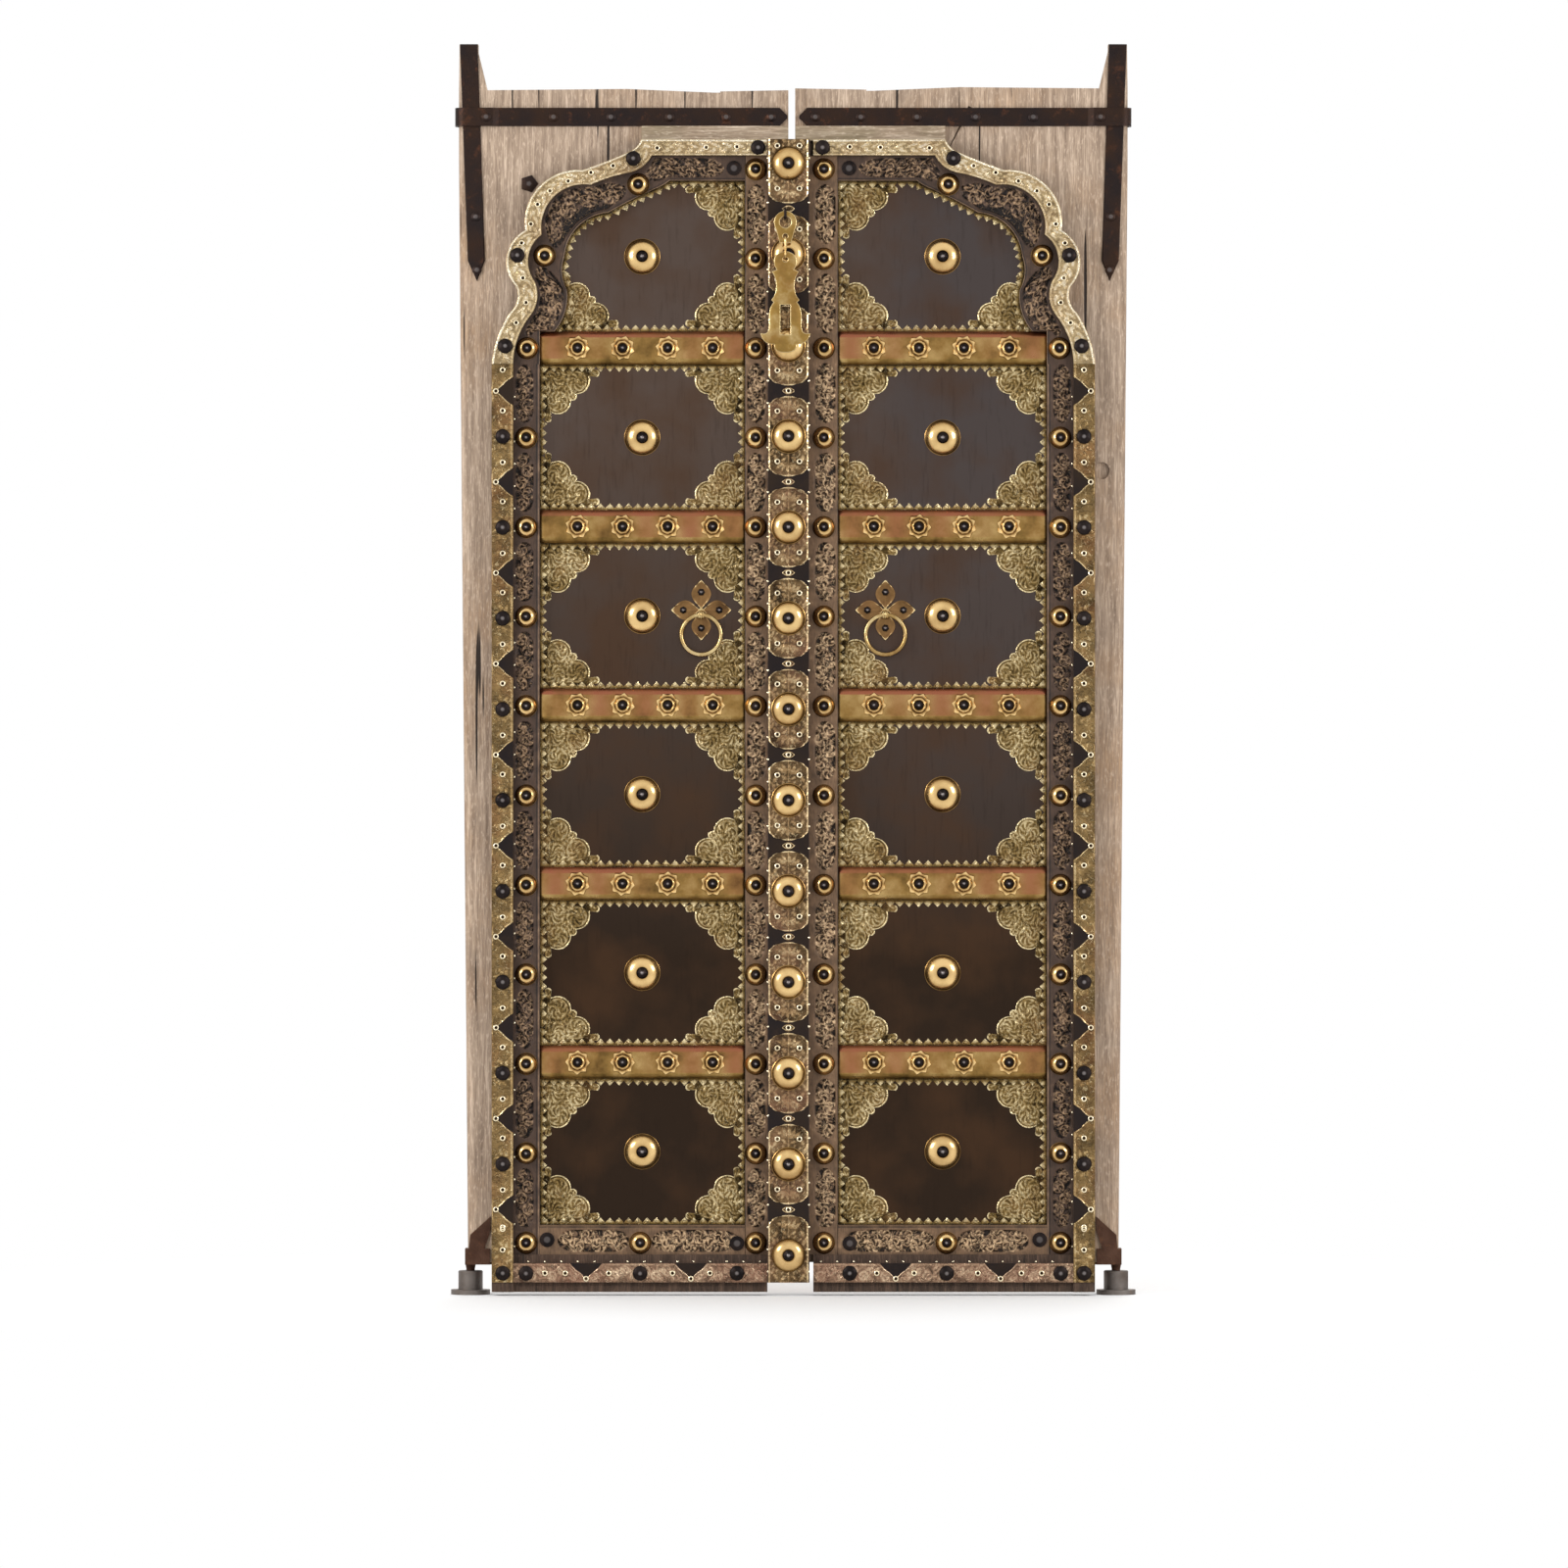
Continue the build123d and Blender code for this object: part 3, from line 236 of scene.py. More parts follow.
def old_brass(ground, body, high, copper="#8a5a3c", spots=0.4, tool=2.2, rough=(0.5, 0.27), worked=True,
              chased=0.0):
    """Chased sheet brass: soot in its ground, brown-green tarnish, and bright where hands rub it; on the
    turned domes, bosses, rosettes and pins the dark and bright tones are also painted shade and highlight.
    """
    def build(tree, point):
        tarnish = specks(tree, point, 34, detail=6, seed=1.3)
        dents = specks(tree, point, tool, detail=3, seed=4.4)
        warm = specks(tree, point, 70, detail=3, seed=9.2)
        if worked:
            height = relief(tree)
        else:
            height = put(tree, "ShaderNodeMapRange", (tarnish, 0.25, 0.75, 0.45, 0.85))
        uneven = put(tree, "ShaderNodeMapRange", (tarnish, 0.3, 0.7, -0.2, 0.16))
        lift = put(tree, "ShaderNodeMath", (uneven, height), operation="ADD")
        colour = put(tree, "ShaderNodeValToRGB", (lift,), stops=[(0.06, ground), (0.48, body), (0.95, high)])
        colour = stain(tree, colour, copper, warm, 0.5, 0.7, spots)
        rough_out = put(tree, "ShaderNodeMapRange", (lift, 0.1, 0.9, *rough))
        if not chased:
            return {"colour": colour, "rough": rough_out, "bump": (dents, 0.12)}
        # The chaser's lines: sooty scrolls with a rubbed edge beside them
        lines = tangle(tree, point, 10, 0.045, seed=3.0)
        edges = tangle(tree, point, 9, 0.03, seed=5.0)
        colour = stain(tree, colour, ground, lines, 0.1, 0.9, chased)
        colour = stain(tree, colour, high, edges, 0.3, 1.0, 0.6 * chased)
        step = put(tree, "ShaderNodeMath", (edges, lines), operation="SUBTRACT")
        return {"colour": colour, "rough": rough_out, "bump": (step, 0.5)}
    return build


def dark_iron(body, warm, rust, rust_share=0.3, size=90, bump=0.12, rough=(0.36, 0.55)):
    """Iron with a brown-black waxed skin: warm blotches, rust where it has worn, and a painted highlight on
    its raised tips.
    """
    def build(tree, point):
        cloud = specks(tree, point, size, detail=5, seed=2.6)
        rusty = specks(tree, point, size * 0.35, detail=8, roughness=0.7, seed=6.1)
        grit = specks(tree, point, 2.0, detail=4, seed=8.0)
        colour = stain(tree, body, warm, cloud, 0.4, 0.66)
        colour = stain(tree, colour, rust, rusty, 0.56, 0.74, rust_share)
        # Painted highlight: pale grey laid over the highest worked places, the tips of the nails
        colour = stain(tree, colour, "#9d9593", relief(tree), 0.72, 1.0, 0.8)
        rough_out = put(tree, "ShaderNodeMapRange", (cloud, 0.3, 0.7, *rough))
        return {"colour": colour, "rough": rough_out, "bump": (grit, bump)}
    return build


def browned_panels(tree, point):
    """Rolled sheet iron, browned and waxed: lighter towards the top with a painted sheen, the upper right
    sheets greyer, the lower ones warmer.
    """
    cloud = specks(tree, point, 110, detail=4, roughness=0.5, seed=2.2)
    streaks = specks(tree, point, 7, detail=4, stretch=(1, 1, 9), seed=5.0)
    grit = specks(tree, point, 1.6, detail=3, seed=8.8)
    place = put(tree, "ShaderNodeSeparateXYZ", (point,), out=None).outputs
    up = put(tree, "ShaderNodeMapRange", (place["Z"], 0.55, 1.45))
    right = put(tree, "ShaderNodeMapRange", (place["X"], 0.05, 0.2))
    grey = put(tree, "ShaderNodeMath", (up, right), operation="MULTIPLY")
    # Painted sheen: the sheets turn lighter towards the top
    colour = stain(tree, "#32271f", "#574a43", up, 0, 1)
    colour = stain(tree, colour, "#4d4543", grey, 0, 1)
    colour = stain(tree, colour, "#4c3626", cloud, 0.42, 0.68, 0.6)
    colour = stain(tree, colour, "#231c18", streaks, 0.55, 0.8, 0.3)
    rough = put(tree, "ShaderNodeMapRange", (cloud, 0.3, 0.7, 0.34, 0.5))
    return {"colour": colour, "rough": rough, "bump": (grit, 0.05)}


def rail_sheet(tree, point):
    """Sheet brass folded over the rails and rubbed bright, with copper showing between rosettes."""
    patch = specks(tree, point, 40, detail=5, seed=1.1)
    dents = specks(tree, point, 26, detail=2, seed=6.6)
    even = put(tree, "ShaderNodeMapRange", (patch, 0.25, 0.75))
    colour = put(tree, "ShaderNodeValToRGB", (even,),
                 stops=[(0.0, "#4e3c1e"), (0.45, "#937440"), (1.0, "#c3a56c")])
    worn = put(tree, "ShaderNodeMapRange", (patch, 0.2, 0.6, 0.35, 1.0))
    bare = put(tree, "ShaderNodeMath", (zone(tree), worn), operation="MULTIPLY")
    colour = stain(tree, colour, "#9c5f46", bare, 0, 1)
    # Painted shade: where the worked share is low, the brass turns dark down the sides, at the ends and along
    # the face's edges
    colour = stain(tree, colour, "#2c2010", relief(tree), 0.5, 0.0, 0.85)
    rough = put(tree, "ShaderNodeMapRange", (patch, 0.3, 0.7, 0.38, 0.24))
    return {"colour": colour, "rough": rough, "bump": (dents, 0.5)}


def metal(name, build):
    return finish(name, build, Metallic=1.0)


def wood(name, build):
    return finish(name, build, Specular_IOR_Level=0.3)


# Pale grey grain, the one light and dry surface: it sets off the dark leaves
boards = wood("weathered_hardwood", weathered_boards("#cfb8a2", "#ae9883", "#7e6b5b", "#a98868"))
# Greyer, greener and laid crosswise: reads as a later, softer filler
lath = wood("mossy_softwood_lath", weathered_boards("#d6c3ad", "#b39d86", "#7b6a56", "#8f8465",
                                                    lie=(16, 1, 1), crack_level=0.2))
# Brown and plain, a quiet step between the chased brass and the carving
ledge = wood("oiled_hardwood", weathered_boards("#634d3e", "#47372c", "#2e231c", "#553f31"))
# Nearly black in its cuts with tan edges: depth and sparkle without shine
carving = wood("carved_hardwood", waxed_carving("#140d0a", "#4e3a2d", "#ad8d6c"))
# The same carving on the stiles and the foot rail: greyer and lighter on its edges
pale_carving = wood("pale_carved_hardwood", waxed_carving("#20160f", "#7c6047", "#e2c096"))
# Rusty black bars with a dull hammered skin
strap_iron = metal("forged_strap_iron", dark_iron("#2d2625", "#382a23", "#64402d", 0.75, 60, 0.5))
# Black heads with a painted highlight on each point, so each nail sparkles once
nail_iron = metal("forged_nail_iron", dark_iron("#211d1d", "#2f2826", "#4f3628", 0.35, 20, 0.3, (0.34, 0.55)))
# Brown and flaking, the part that stood in the wet
shoe_iron = metal("rusty_shoe_iron", dark_iron("#63493c", "#5a4136", "#8a5f45", 0.6, 40, 0.6, (0.6, 0.85)))
# Grey worn iron, plain beside the rusty shoe that turns in it
socket_iron = metal("worn_socket_iron",
                    dark_iron("#77706b", "#665c55", "#86634c", 0.35, 50, 0.4, (0.45, 0.7)))
# Black smooth sheet that shows only in the notches
cover_iron = metal("blackened_sheet_iron", dark_iron("#2b2626", "#362c25", "#4c3a2c", 0.3))
# Calm brown-black fields with a faint cloud of reflected light
panel_iron = metal("browned_sheet_iron", browned_panels)
# Bright yellow-grey edge that draws the arch
arch_brass = metal("chased_arch_brass", old_brass("#4f3e26", "#c6ae84", "#fff6e0", spots=0.25, chased=0.35))
# Brown-gold leafwork, darker than the arch above it
band_brass = metal("chased_band_brass", old_brass("#33281a", "#a08356", "#efdaac", chased=0.55))
# Redder than the sides: an alloy with more copper
low_brass = metal("chased_foot_bronze",
                  old_brass("#3a2c25", "#9f8068", "#ecd2b0", "#8f6654", 0.55, chased=0.55))
# Rosy gold, darker in its leafwork, with a light edge round every plaque
plaque_brass = metal("chased_plaque_bronze",
                     old_brass("#382b1e", "#987b56", "#ead4a8", "#8f6854", 0.45, chased=0.5))
# Olive gold lace on the black sheets, its edge rubbed light
fret_brass = metal("pierced_corner_brass",
                   old_brass("#2a2012", "#8a7144", "#efdcae", "#8a6440", 0.35, chased=0.5))
# Smooth and bright: lamps show as two soft lights on each dome
dome_brass = metal("polished_dome_brass", old_brass("#3a2812", "#a8834e", "#ecc98c", spots=0.12, tool=7.0,
                                                    rough=(0.36, 0.19)))
# Small and nearly white, the points that run along every edge
pin_brass = metal("polished_pin_brass", old_brass("#2c2117", "#c2a67a", "#fff1cf", spots=0.05,
                                                  rough=(0.4, 0.22)))
# Broad smooth bars of gold and copper, the brightest bands of the door
rail_brass = metal("folded_rail_brass", rail_sheet)
# Flat yellow plate, worn smooth by the padlock
hasp_brass = metal("cast_hasp_brass", old_brass("#463619", "#9a7a41", "#f6e0aa", spots=0.3))
# Yellow and smooth where hands hold it
ring_brass = metal("cast_ring_brass", old_brass("#5a4628", "#a98a55", "#e6d09c", spots=0.2, worked=False,
                                                rough=(0.38, 0.22)))
# Brown leaves with a light rim, dull behind the bright ring
petal_bronze = metal("cast_petal_bronze", old_brass("#4a3522", "#957248", "#f0d8a2", "#7a553c", 0.3,
                                                    rough=(0.5, 0.3)))


# Meshes


def join_scene(name, data):
    """A new object for this mesh, curve, lamp or camera."""
    made = bpy.data.objects.new(name, data)
    bpy.context.scene.collection.objects.link(made)
    return made


def record(mesh, label, values):
    """Stores one number for every vertex, for the finishes and Geometry Nodes to read."""
    mesh.attributes.new(label, "FLOAT", "POINT").data.foreach_set("value", values)


def face_outward(mesh, weld=0.0):
    """Turns the faces of a closed mesh outward, after joining vertices closer than weld in metres."""
    shape = bmesh.new()
    shape.from_mesh(mesh)
    if weld:
        bmesh.ops.remove_doubles(shape, verts=shape.verts, dist=weld)
    bmesh.ops.recalc_face_normals(shape, faces=shape.faces)
    shape.to_mesh(mesh)
    shape.free()


def shape_of(holder, name):
    """The mesh that an object's curve or modifiers give, in place of the object."""
    mesh = bpy.data.meshes.new_from_object(holder.evaluated_get(bpy.context.evaluated_depsgraph_get()))
    mesh.name = name
    bpy.data.objects.remove(holder)
    return mesh


def arc(start, middle, end, count):
    """Points (u, z) along the circle arc through three points, without its last point."""
    a, b, c = (complex(*p) for p in (start, middle, end))
    w = (c - a) / (b - a)
    centre = (b - a) * (w - abs(w) ** 2) / (2j * w.imag) + a
    first, last = np.angle(a - centre), np.angle(c - centre)
    via = np.angle(b - centre)
    turn = (last - first) % tau
    if (via - first) % tau > turn:
        turn -= tau
    angles = first + turn * np.arange(count) / count
    ring = centre + abs(a - centre) * np.exp(1j * angles)
    return np.stack([ring.real, ring.imag], axis=-1)


def chain(rows, counts):
    """The arcs of one edge as points, with this many steps to each arc, and its last point."""
    return np.concatenate([arc(*row, n) for row, n in zip(rows, counts)] + [rows[-1][-1:]])


def points(us, zs):
    """Points (u, z), one for each u and z, or a grid of them from a column and a row."""
    return np.stack(np.broadcast_arrays(us, zs), axis=-1)


def straight(a, b, count):
    """Evenly spaced points from a towards b, without b."""
    steps = np.arange(count)[:, None] / count
    return np.array(a, float) * (1 - steps) + np.array(b, float) * steps


def across(first, second, count):
    """A grid of (u, z) points: rows follow the two edges, columns run from one to the other."""
    steps = np.linspace(0, 1, count)[None, :, None]
    return first[:, None, :] * (1 - steps) + second[:, None, :] * steps


def slab(grid, depth, back, worked, extra=None):
    """A closed sheet over a grid of (x, z) points: its front at these depths, its back flat."""
    rows, cols = depth.shape
    index = np.arange(rows * cols).reshape(rows, cols)
    ring = np.concatenate([index[0], index[1:, -1], index[-1, -2::-1], index[-2:0:-1, 0]])
    front = np.stack([grid[..., 0], -depth, grid[..., 1]], axis=-1).reshape(-1, 3)
    rim = front[ring].copy()
    rim[:, 1] = -back
    total = rows * cols
    below = {int(v): total + i for i, v in enumerate(ring)}
    quads = np.stack([index[:-1, :-1], index[:-1, 1:], index[1:, 1:], index[1:, :-1]], axis=-1)
    faces = quads.reshape(-1, 4).tolist()
    turned = np.roll(ring, -1)
    faces += [[int(b), int(a), below[int(a)], below[int(b)]] for a, b in zip(ring, turned)]
    for r in range(rows - 1):
        upper = index[r] if r == 0 else index[r, [0, -1]]
        lower = index[r + 1] if r == rows - 2 else index[r + 1, [0, -1]]
        faces.append([below[int(v)] for v in [*lower, *upper[::-1]]])
    values = np.concatenate([worked.reshape(-1), np.zeros(len(ring))])
    bare = np.concatenate([(extra if extra is not None else worked * 0).reshape(-1), np.zeros(len(ring))])
    return np.concatenate([front, rim]) * MM, faces, values, bare


def piece(name, parts, material, *stands_for, crease=50):
    """One object from closed parts, in the place of these CAD nodes."""
    mesh = bpy.data.meshes.new(name)
    starts = np.cumsum([0] + [len(verts) for verts, *_ in parts])
    faces = [[int(start) + v for v in poly] for start, (_, polys, *_) in zip(starts, parts) for poly in polys]
    mesh.from_pydata(np.concatenate([verts for verts, *_ in parts]).tolist(), [], faces)
    for label, column in (("worked", 2), ("zone", 3)):
        record(mesh, label, np.concatenate([part[column] for part in parts]).astype(np.float32))
    face_outward(mesh)
    show(name, mesh, material, stands_for, crease)


def show(name, mesh, material, stands_for, crease, body=None):
    """Puts a finished mesh in the scene, on its own leaf unless a body is named."""
    mesh.materials.clear()
    mesh.materials.append(material)
    mesh.shade_smooth()
    mesh.set_sharp_from_angle(angle=radians(crease))
    shown = join_scene(name, mesh)
    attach(shown, body or ("right_leaf" if name.startswith("right") else "left_leaf"))
    if stands_for:
        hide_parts(*stands_for)


# Worked ornament, as heights from 0 to 1 over points in mm


def leaves(s, t, sprays):
    """Carved leaves with a midrib and lobed edges; each spray is (s, t, angle, length, width)."""
    height = np.zeros_like(s)
    for at_s, at_t, angle, length, width in sprays:
        near = (np.abs(s - at_s) < length) & (np.abs(t - at_t) < length)
        ds, dt = s[near] - at_s, t[near] - at_t
        along = (cos(angle) * ds + sin(angle) * dt) / length + 0.5
        off = -sin(angle) * ds + cos(angle) * dt
        inside = np.clip(along, 0, 1)
        off = off - 0.22 * width * np.sin(pi * inside)
        half = 0.5 * width * np.sin(pi * inside ** 0.75) * (1 + 0.25 * np.cos(inside * 19)) + 1e-6
        swell = np.clip(1 - (off / half) ** 2, 0, 1) ** 0.6
        rib = 0.35 * np.exp(-(off / (0.16 * width)) ** 2)
        height[near] = np.maximum(height[near], swell * (0.75 + 0.25 * inside) - rib * (swell > 0.1))
    return height


def vine(s, t, start, end, middle, reach, seed, leaf=15.0, pitch=7.5):
    """A waving stem from start to end along s, with leaves thrown to both sides within reach."""
    random = np.random.default_rng(seed)
    count = max(3, round((end - start) / pitch))
    wave = 0.45 * reach * np.sin((s - start) * tau / 38 + seed)
    stem = np.exp(-((t - middle - wave) / 1.5) ** 2) * 0.8
    sprays = []
    for i in range(count):
        at_s = start + (i + 0.5) * (end - start) / count
        for side in (-1, 1):
            angle = side * random.uniform(0.5, 1.4) + pi * (random.random() < 0.35)
            at_t = middle + side * random.uniform(0.2, 0.85) * reach
            sprays.append((at_s + random.uniform(-3, 3), at_t, angle, leaf * random.uniform(0.75, 1.15),
                           leaf * random.uniform(0.32, 0.46)))
    curls = []
    number = max(2, round((end - start) / 17))
    for i in range(number):
        at_s = start + (i + 0.5) * (end - start) / number
        way = 1 if i % 2 else -1
        curls.append((at_s, middle + way * 0.38 * reach, 0.62 * reach, way))
    return np.maximum(np.maximum(0.8 * leaves(s, t, sprays), stem), pinwheels(s, t, curls, floor=0.0))


def pinwheels(x, y, wheels, floor=0.12):
    """Round scrolls: in each (x, y, radius, turn) curved arms run out to a raised ring."""
    height = np.zeros_like(x)
    for at_x, at_y, radius, turn in wheels:
        away = np.hypot(x - at_x, y - at_y)
        angle = np.arctan2(y - at_y, x - at_x)
        arms = max(4, round(radius / 2.6))
        swirl = 0.5 + 0.5 * np.cos(arms * (angle + turn * away / radius * 1.5))
        body = (floor + (1 - floor) * np.clip(1.4 * swirl - 0.2, 0, 1)) * (away < radius * 0.86)
        core = np.exp(-(away / (0.16 * radius)) ** 2)
        ring = np.exp(-((away - radius * 0.93) / 1.3) ** 2)
        height = np.maximum(height, np.maximum(np.maximum(body * 0.85, core), ring))
    return height


def rim(distance, width=1.6):
    """A raised bead along an edge, from the distance to that edge."""
    return np.exp(-((distance - width) / width) ** 2)


def place_on(leaf, grid):
    """Grid points (u, z) as (x, z) on one leaf."""
    return grid * np.array([SIDES[leaf], 1.0])


def lengths(grid):
    """How far along its rows and across its columns each point of a grid lies."""
    steps = np.linalg.norm(np.diff(grid.mean(axis=1), axis=0), axis=1)
    along = np.concatenate([[0], np.cumsum(steps)])[:, None] * np.ones(grid.shape[1])
    over = np.linalg.norm(grid - grid[:, :1], axis=-1)
    return along, over


# Border: the chased brass on the arch, the sides and the foot


def arch_cover(leaf):
    """The bright brass of the arch: a running leaf between two beads."""
    edges = []
    for rows in (ARCH_OUTER, ARCH_INNER):
        u, z = rows[0][0]
        level = straight((BORDER_END[leaf], z), (u, z), 100)
        edges.append(np.concatenate([level, chain(rows, (10, 42, 60, 50, 24, 46))]))
    grid = across(*edges, 17)
    s, t = lengths(grid)
    wide = t[:, -1:] * np.ones_like(t)
    pitch = 9.5
    sprays = []
    for i in range(int(s.max() / pitch)):
        lean = 1 if i % 2 else -1
        row = np.argmin(np.abs(s[:, 0] - (i + 0.5) * pitch))
        half = wide[row, 0] / 2
        sprays.append(((i + 0.5) * pitch, half + lean * 4.2, lean * 0.75, 17, 6.5))
        sprays.append(((i + 0.2) * pitch, half - lean * 6.5, -lean * 0.4, 11, 4.5))
    height = leaves(s, t, sprays) * np.clip(np.minimum(t, wide - t) / 4 - 0.8, 0, 1)
    worked = np.clip(0.32 + 0.5 * height, 0, 1)
    edge = np.maximum(rim(t, 2.0), 0.7 * rim(wide - t, 1.4))
    worked = np.maximum(worked, edge)
    depth = BRASS_FACE - 0.9 + 0.9 * height + 1.3 * edge
    return [slab(place_on(leaf, grid), depth, BORDER_FACE - 1.5, worked)]


def notch_cut(away, width, deep):
    """How far an ogee notch reaches in at this distance from its middle."""
    share = np.clip(1 - np.abs(away) / (width / 2), 0, 1)
    return deep * np.clip(0.5 * share + 0.5 * (1 - np.cos(pi * share)) / 2 + 0.1 * np.sin(tau * share), 0, 1)


def side_band(leaf):
    """The side band's brass, from the foot's corner to the spring, cut in by its notches."""
    zs = np.arange(BAND_LOW, ARCH_SPRING + 0.1, 1.6)
    deep = 29.5
    cut = sum(notch_cut(zs - z, 46, deep) for z in NOTCH_ZS)
    inner = points(BORDER_IN + np.minimum(cut, deep), zs)
    grid = across(points(BORDER_OUT, zs), inner, 15)
    u, z = grid[..., 0], grid[..., 1]
    sprays = []
    for nail_z in PLAQUE_ZS[:10]:
        for turn in range(8):
            angle = turn * tau / 8 + 0.2
            sprays.append((nail_z + 19 * cos(angle), BAND_MIDDLE + 12 * sin(angle), angle + 0.5, 12, 5))
        for dz in (-42, 42):
            sprays += [(nail_z + dz, 480, 0.8 * np.sign(dz), 12, 4.5),
                       (nail_z + dz * 1.05, 469, -0.8, 12, 4.5)]
    height = leaves(z, u, sprays)
    edge = np.maximum(rim(BORDER_OUT - u, 1.2) * 0.7, rim(u - inner[:, None, 0], 1.5))
    worked = np.maximum(0.3 + 0.45 * height, edge)
    depth = BRASS_FACE - 0.8 + 0.8 * height + 1.2 * edge
    return [slab(place_on(leaf, grid), depth, BORDER_FACE, worked)]


def foot_band(leaf):
    """The foot's bronze, from the meeting line to the side band, cut down by its notches."""
    us = np.arange(BORDER_END[leaf], BORDER_IN + 0.1, 1.6)
    us[-1] = BORDER_IN
    cut = sum(notch_cut(us - u, 52, 26) for u in LOW_NOTCHES)
    upper = points(us, BAND_HIGH - cut)
    grid = across(points(us, BAND_LOW), upper, 14)
    u, z = grid[..., 0], grid[..., 1]
    height = vine(u, z, BORDER_END[leaf] + 4, BORDER_IN - 4, FOOT_MIDDLE, 12, 4, leaf=13, pitch=8.5)
    edge = np.maximum(rim(upper[:, None, 1] - z, 1.4), 0.7 * rim(z - BAND_LOW, 1.2))
    height = height * np.clip((upper[:, None, 1] - z) / 5 - 0.4, 0, 1)
    worked = np.maximum(0.3 + 0.45 * height, edge)
    depth = BRASS_FACE - 0.8 + 0.8 * height + 1.1 * edge
    return [slab(place_on(leaf, grid), depth, BORDER_FACE, worked)]


# Carved strips: sunk leafwork between the bosses, inside a plain moulded edge


CARVING_STEP, CARVING_COLUMNS, BAY_GAP = 1.7, 27, 25.0


def carved(leaf, grid, s, t, wide, bays, seed, boundary=0.0, bead=0.0):
    """A carved strip: leafwork sunk in bays (start, end) along s, a groove at its boundary and a bead."""
    worked = np.full_like(s, 0.42)
    depth = np.full_like(s, STRIP_FACE)
    sunk = np.zeros_like(s)
    for number, (start, end) in enumerate(bays):
        share = np.clip(2 * np.abs(s - (start + end) / 2) / (end - start), 0, 1)
        bulge = np.sqrt(np.clip(1 - share ** 5, 0, 1))
        half = (wide / 2 - 3.6) * bulge
        inside = np.clip((half - np.abs(t - wide / 2)) / 1.6, 0, 1) * (share < 1)
        half_wide = float(np.median(wide)) / 2
        foliage = vine(s, t, start + 3, end - 3, half_wide, half_wide - 3, seed + number, leaf=15, pitch=4.6)
        worked = worked * (1 - inside) + inside * np.clip(foliage, 0, 1)
        depth = depth - inside * RELIEF * 1.25 * (1 - foliage)
        sunk = np.maximum(sunk, inside)
    groove = np.exp(-((t - boundary) / 1.1) ** 2)
    worked = np.maximum(worked * (1 - 0.75 * groove), 0.8 * bead)
    return slab(place_on(leaf, grid), depth - 1.2 * groove, 0.0, worked, sunk)


def upright(first_u, second_u, top):
    """A grid up a strip from the foot's ledge, its columns going from one edge to the other."""
    zs = np.arange(LEDGE_HIGH, top + 0.1, CARVING_STEP)
    zs[-1] = top
    return across(points(first_u, zs), points(second_u, zs), CARVING_COLUMNS)


def side_carving(leaf):
    """The strip beside the side band, from the foot's ledge to the spring of the arch."""
    grid = upright(BORDER_IN, SIDE_IN, ARCH_SPRING)
    s, t = grid[..., 1], BORDER_IN - grid[..., 0]
    bays = [(a + BAY_GAP, b - BAY_GAP) for a, b in zip(BOSS_ZS[:10], BOSS_ZS[1:10])]
    bays.append((BOSS_ZS[9] + BAY_GAP, ARCH_SPRING - 2))
    bead = np.exp(-((t - 40.8) / 1.4) ** 2)
    return [carved(leaf, grid, s, t, 37.0, bays, 10, boundary=38.5, bead=bead)]


def stile_carving(leaf):
    """The strip along the meeting edge, from the foot's ledge to the top."""
    shown, stile = BORDER_END[leaf], STILE[leaf]
    start = shown - 8
    grid = upright(stile, start, ARCH_INNER_TOP)
    s, t = grid[..., 1], stile - grid[..., 0]
    bays = [(a + BAY_GAP, b - BAY_GAP) for a, b in zip(BOSS_ZS, BOSS_ZS[1:])]
    foliage = carved(leaf, grid, s, t, stile - shown + 1.0, bays, 40)
    # The plain part of the stile, up to its meeting edge, is seen when the leaves open
    plain = points([start + 1, EDGE[leaf]], [[BAND_LOW], [ARCH_TOP]])
    flat = np.full((2, 2), STRIP_FACE - 0.3)
    return [foliage, slab(place_on(leaf, plain), flat, 0.0, np.full((2, 2), 0.42))]


def rail_carving(leaf):
    """The strip across the foot, under the lowest panel."""
    stile = STILE[leaf]
    us = np.arange(stile, SIDE_IN + 0.1, CARVING_STEP)
    us[-1] = SIDE_IN
    grid = across(points(us, LEDGE_HIGH), points(us, LOW_RAIL_TOP), CARVING_COLUMNS)
    s, t = grid[..., 0], grid[..., 1] - LEDGE_HIGH
    bays = [(stile + 10, 232), (268, SIDE_IN - 30)]
    return [carved(leaf, grid, s, t, 44.0, bays, 70, boundary=45.0)]


def arch_carving(leaf):
    """The strip between the arch and the top panel, parted by its three bosses."""
    steps, corner, foot = (9, 34, 50, 34, 26), (SIDE_IN, RAIL_TOP), (SIDE_IN, ARCH_SPRING)
    outer = np.concatenate([straight((STILE[leaf], ARCH_INNER_TOP), ARCH_INNER[0][0], 82),
                            chain(ARCH_INNER, (*steps, 40))])
    inner = np.concatenate([straight((STILE[leaf], PANEL_TOP), ARCH_PANEL[0][0], 82),
                            chain(ARCH_PANEL, steps)[:-1], straight(ARCH_PANEL[-1][-1], corner, 14),
                            straight(corner, foot, 26), [foot]])
    grid = across(outer, inner, CARVING_COLUMNS)
    s, t = lengths(grid)
    wide = t[:, -1:] * np.ones_like(t)
    middle = grid[:, CARVING_COLUMNS // 2]
    near = [s[np.argmin(np.hypot(*(middle - spot).T)), 0] for spot in ARCH_BOSSES]
    bays = [(34, near[0] - 20), (near[0] + 22, near[1] - 20), (near[1] + 20, near[2] - 20)]
    bead = np.exp(-((wide - t) / 1.3) ** 2)
    return [carved(leaf, grid, s, t, wide - 1.5, bays, 90, boundary=wide - 2.5, bead=bead)]


# Rails, panels' trim, plaques


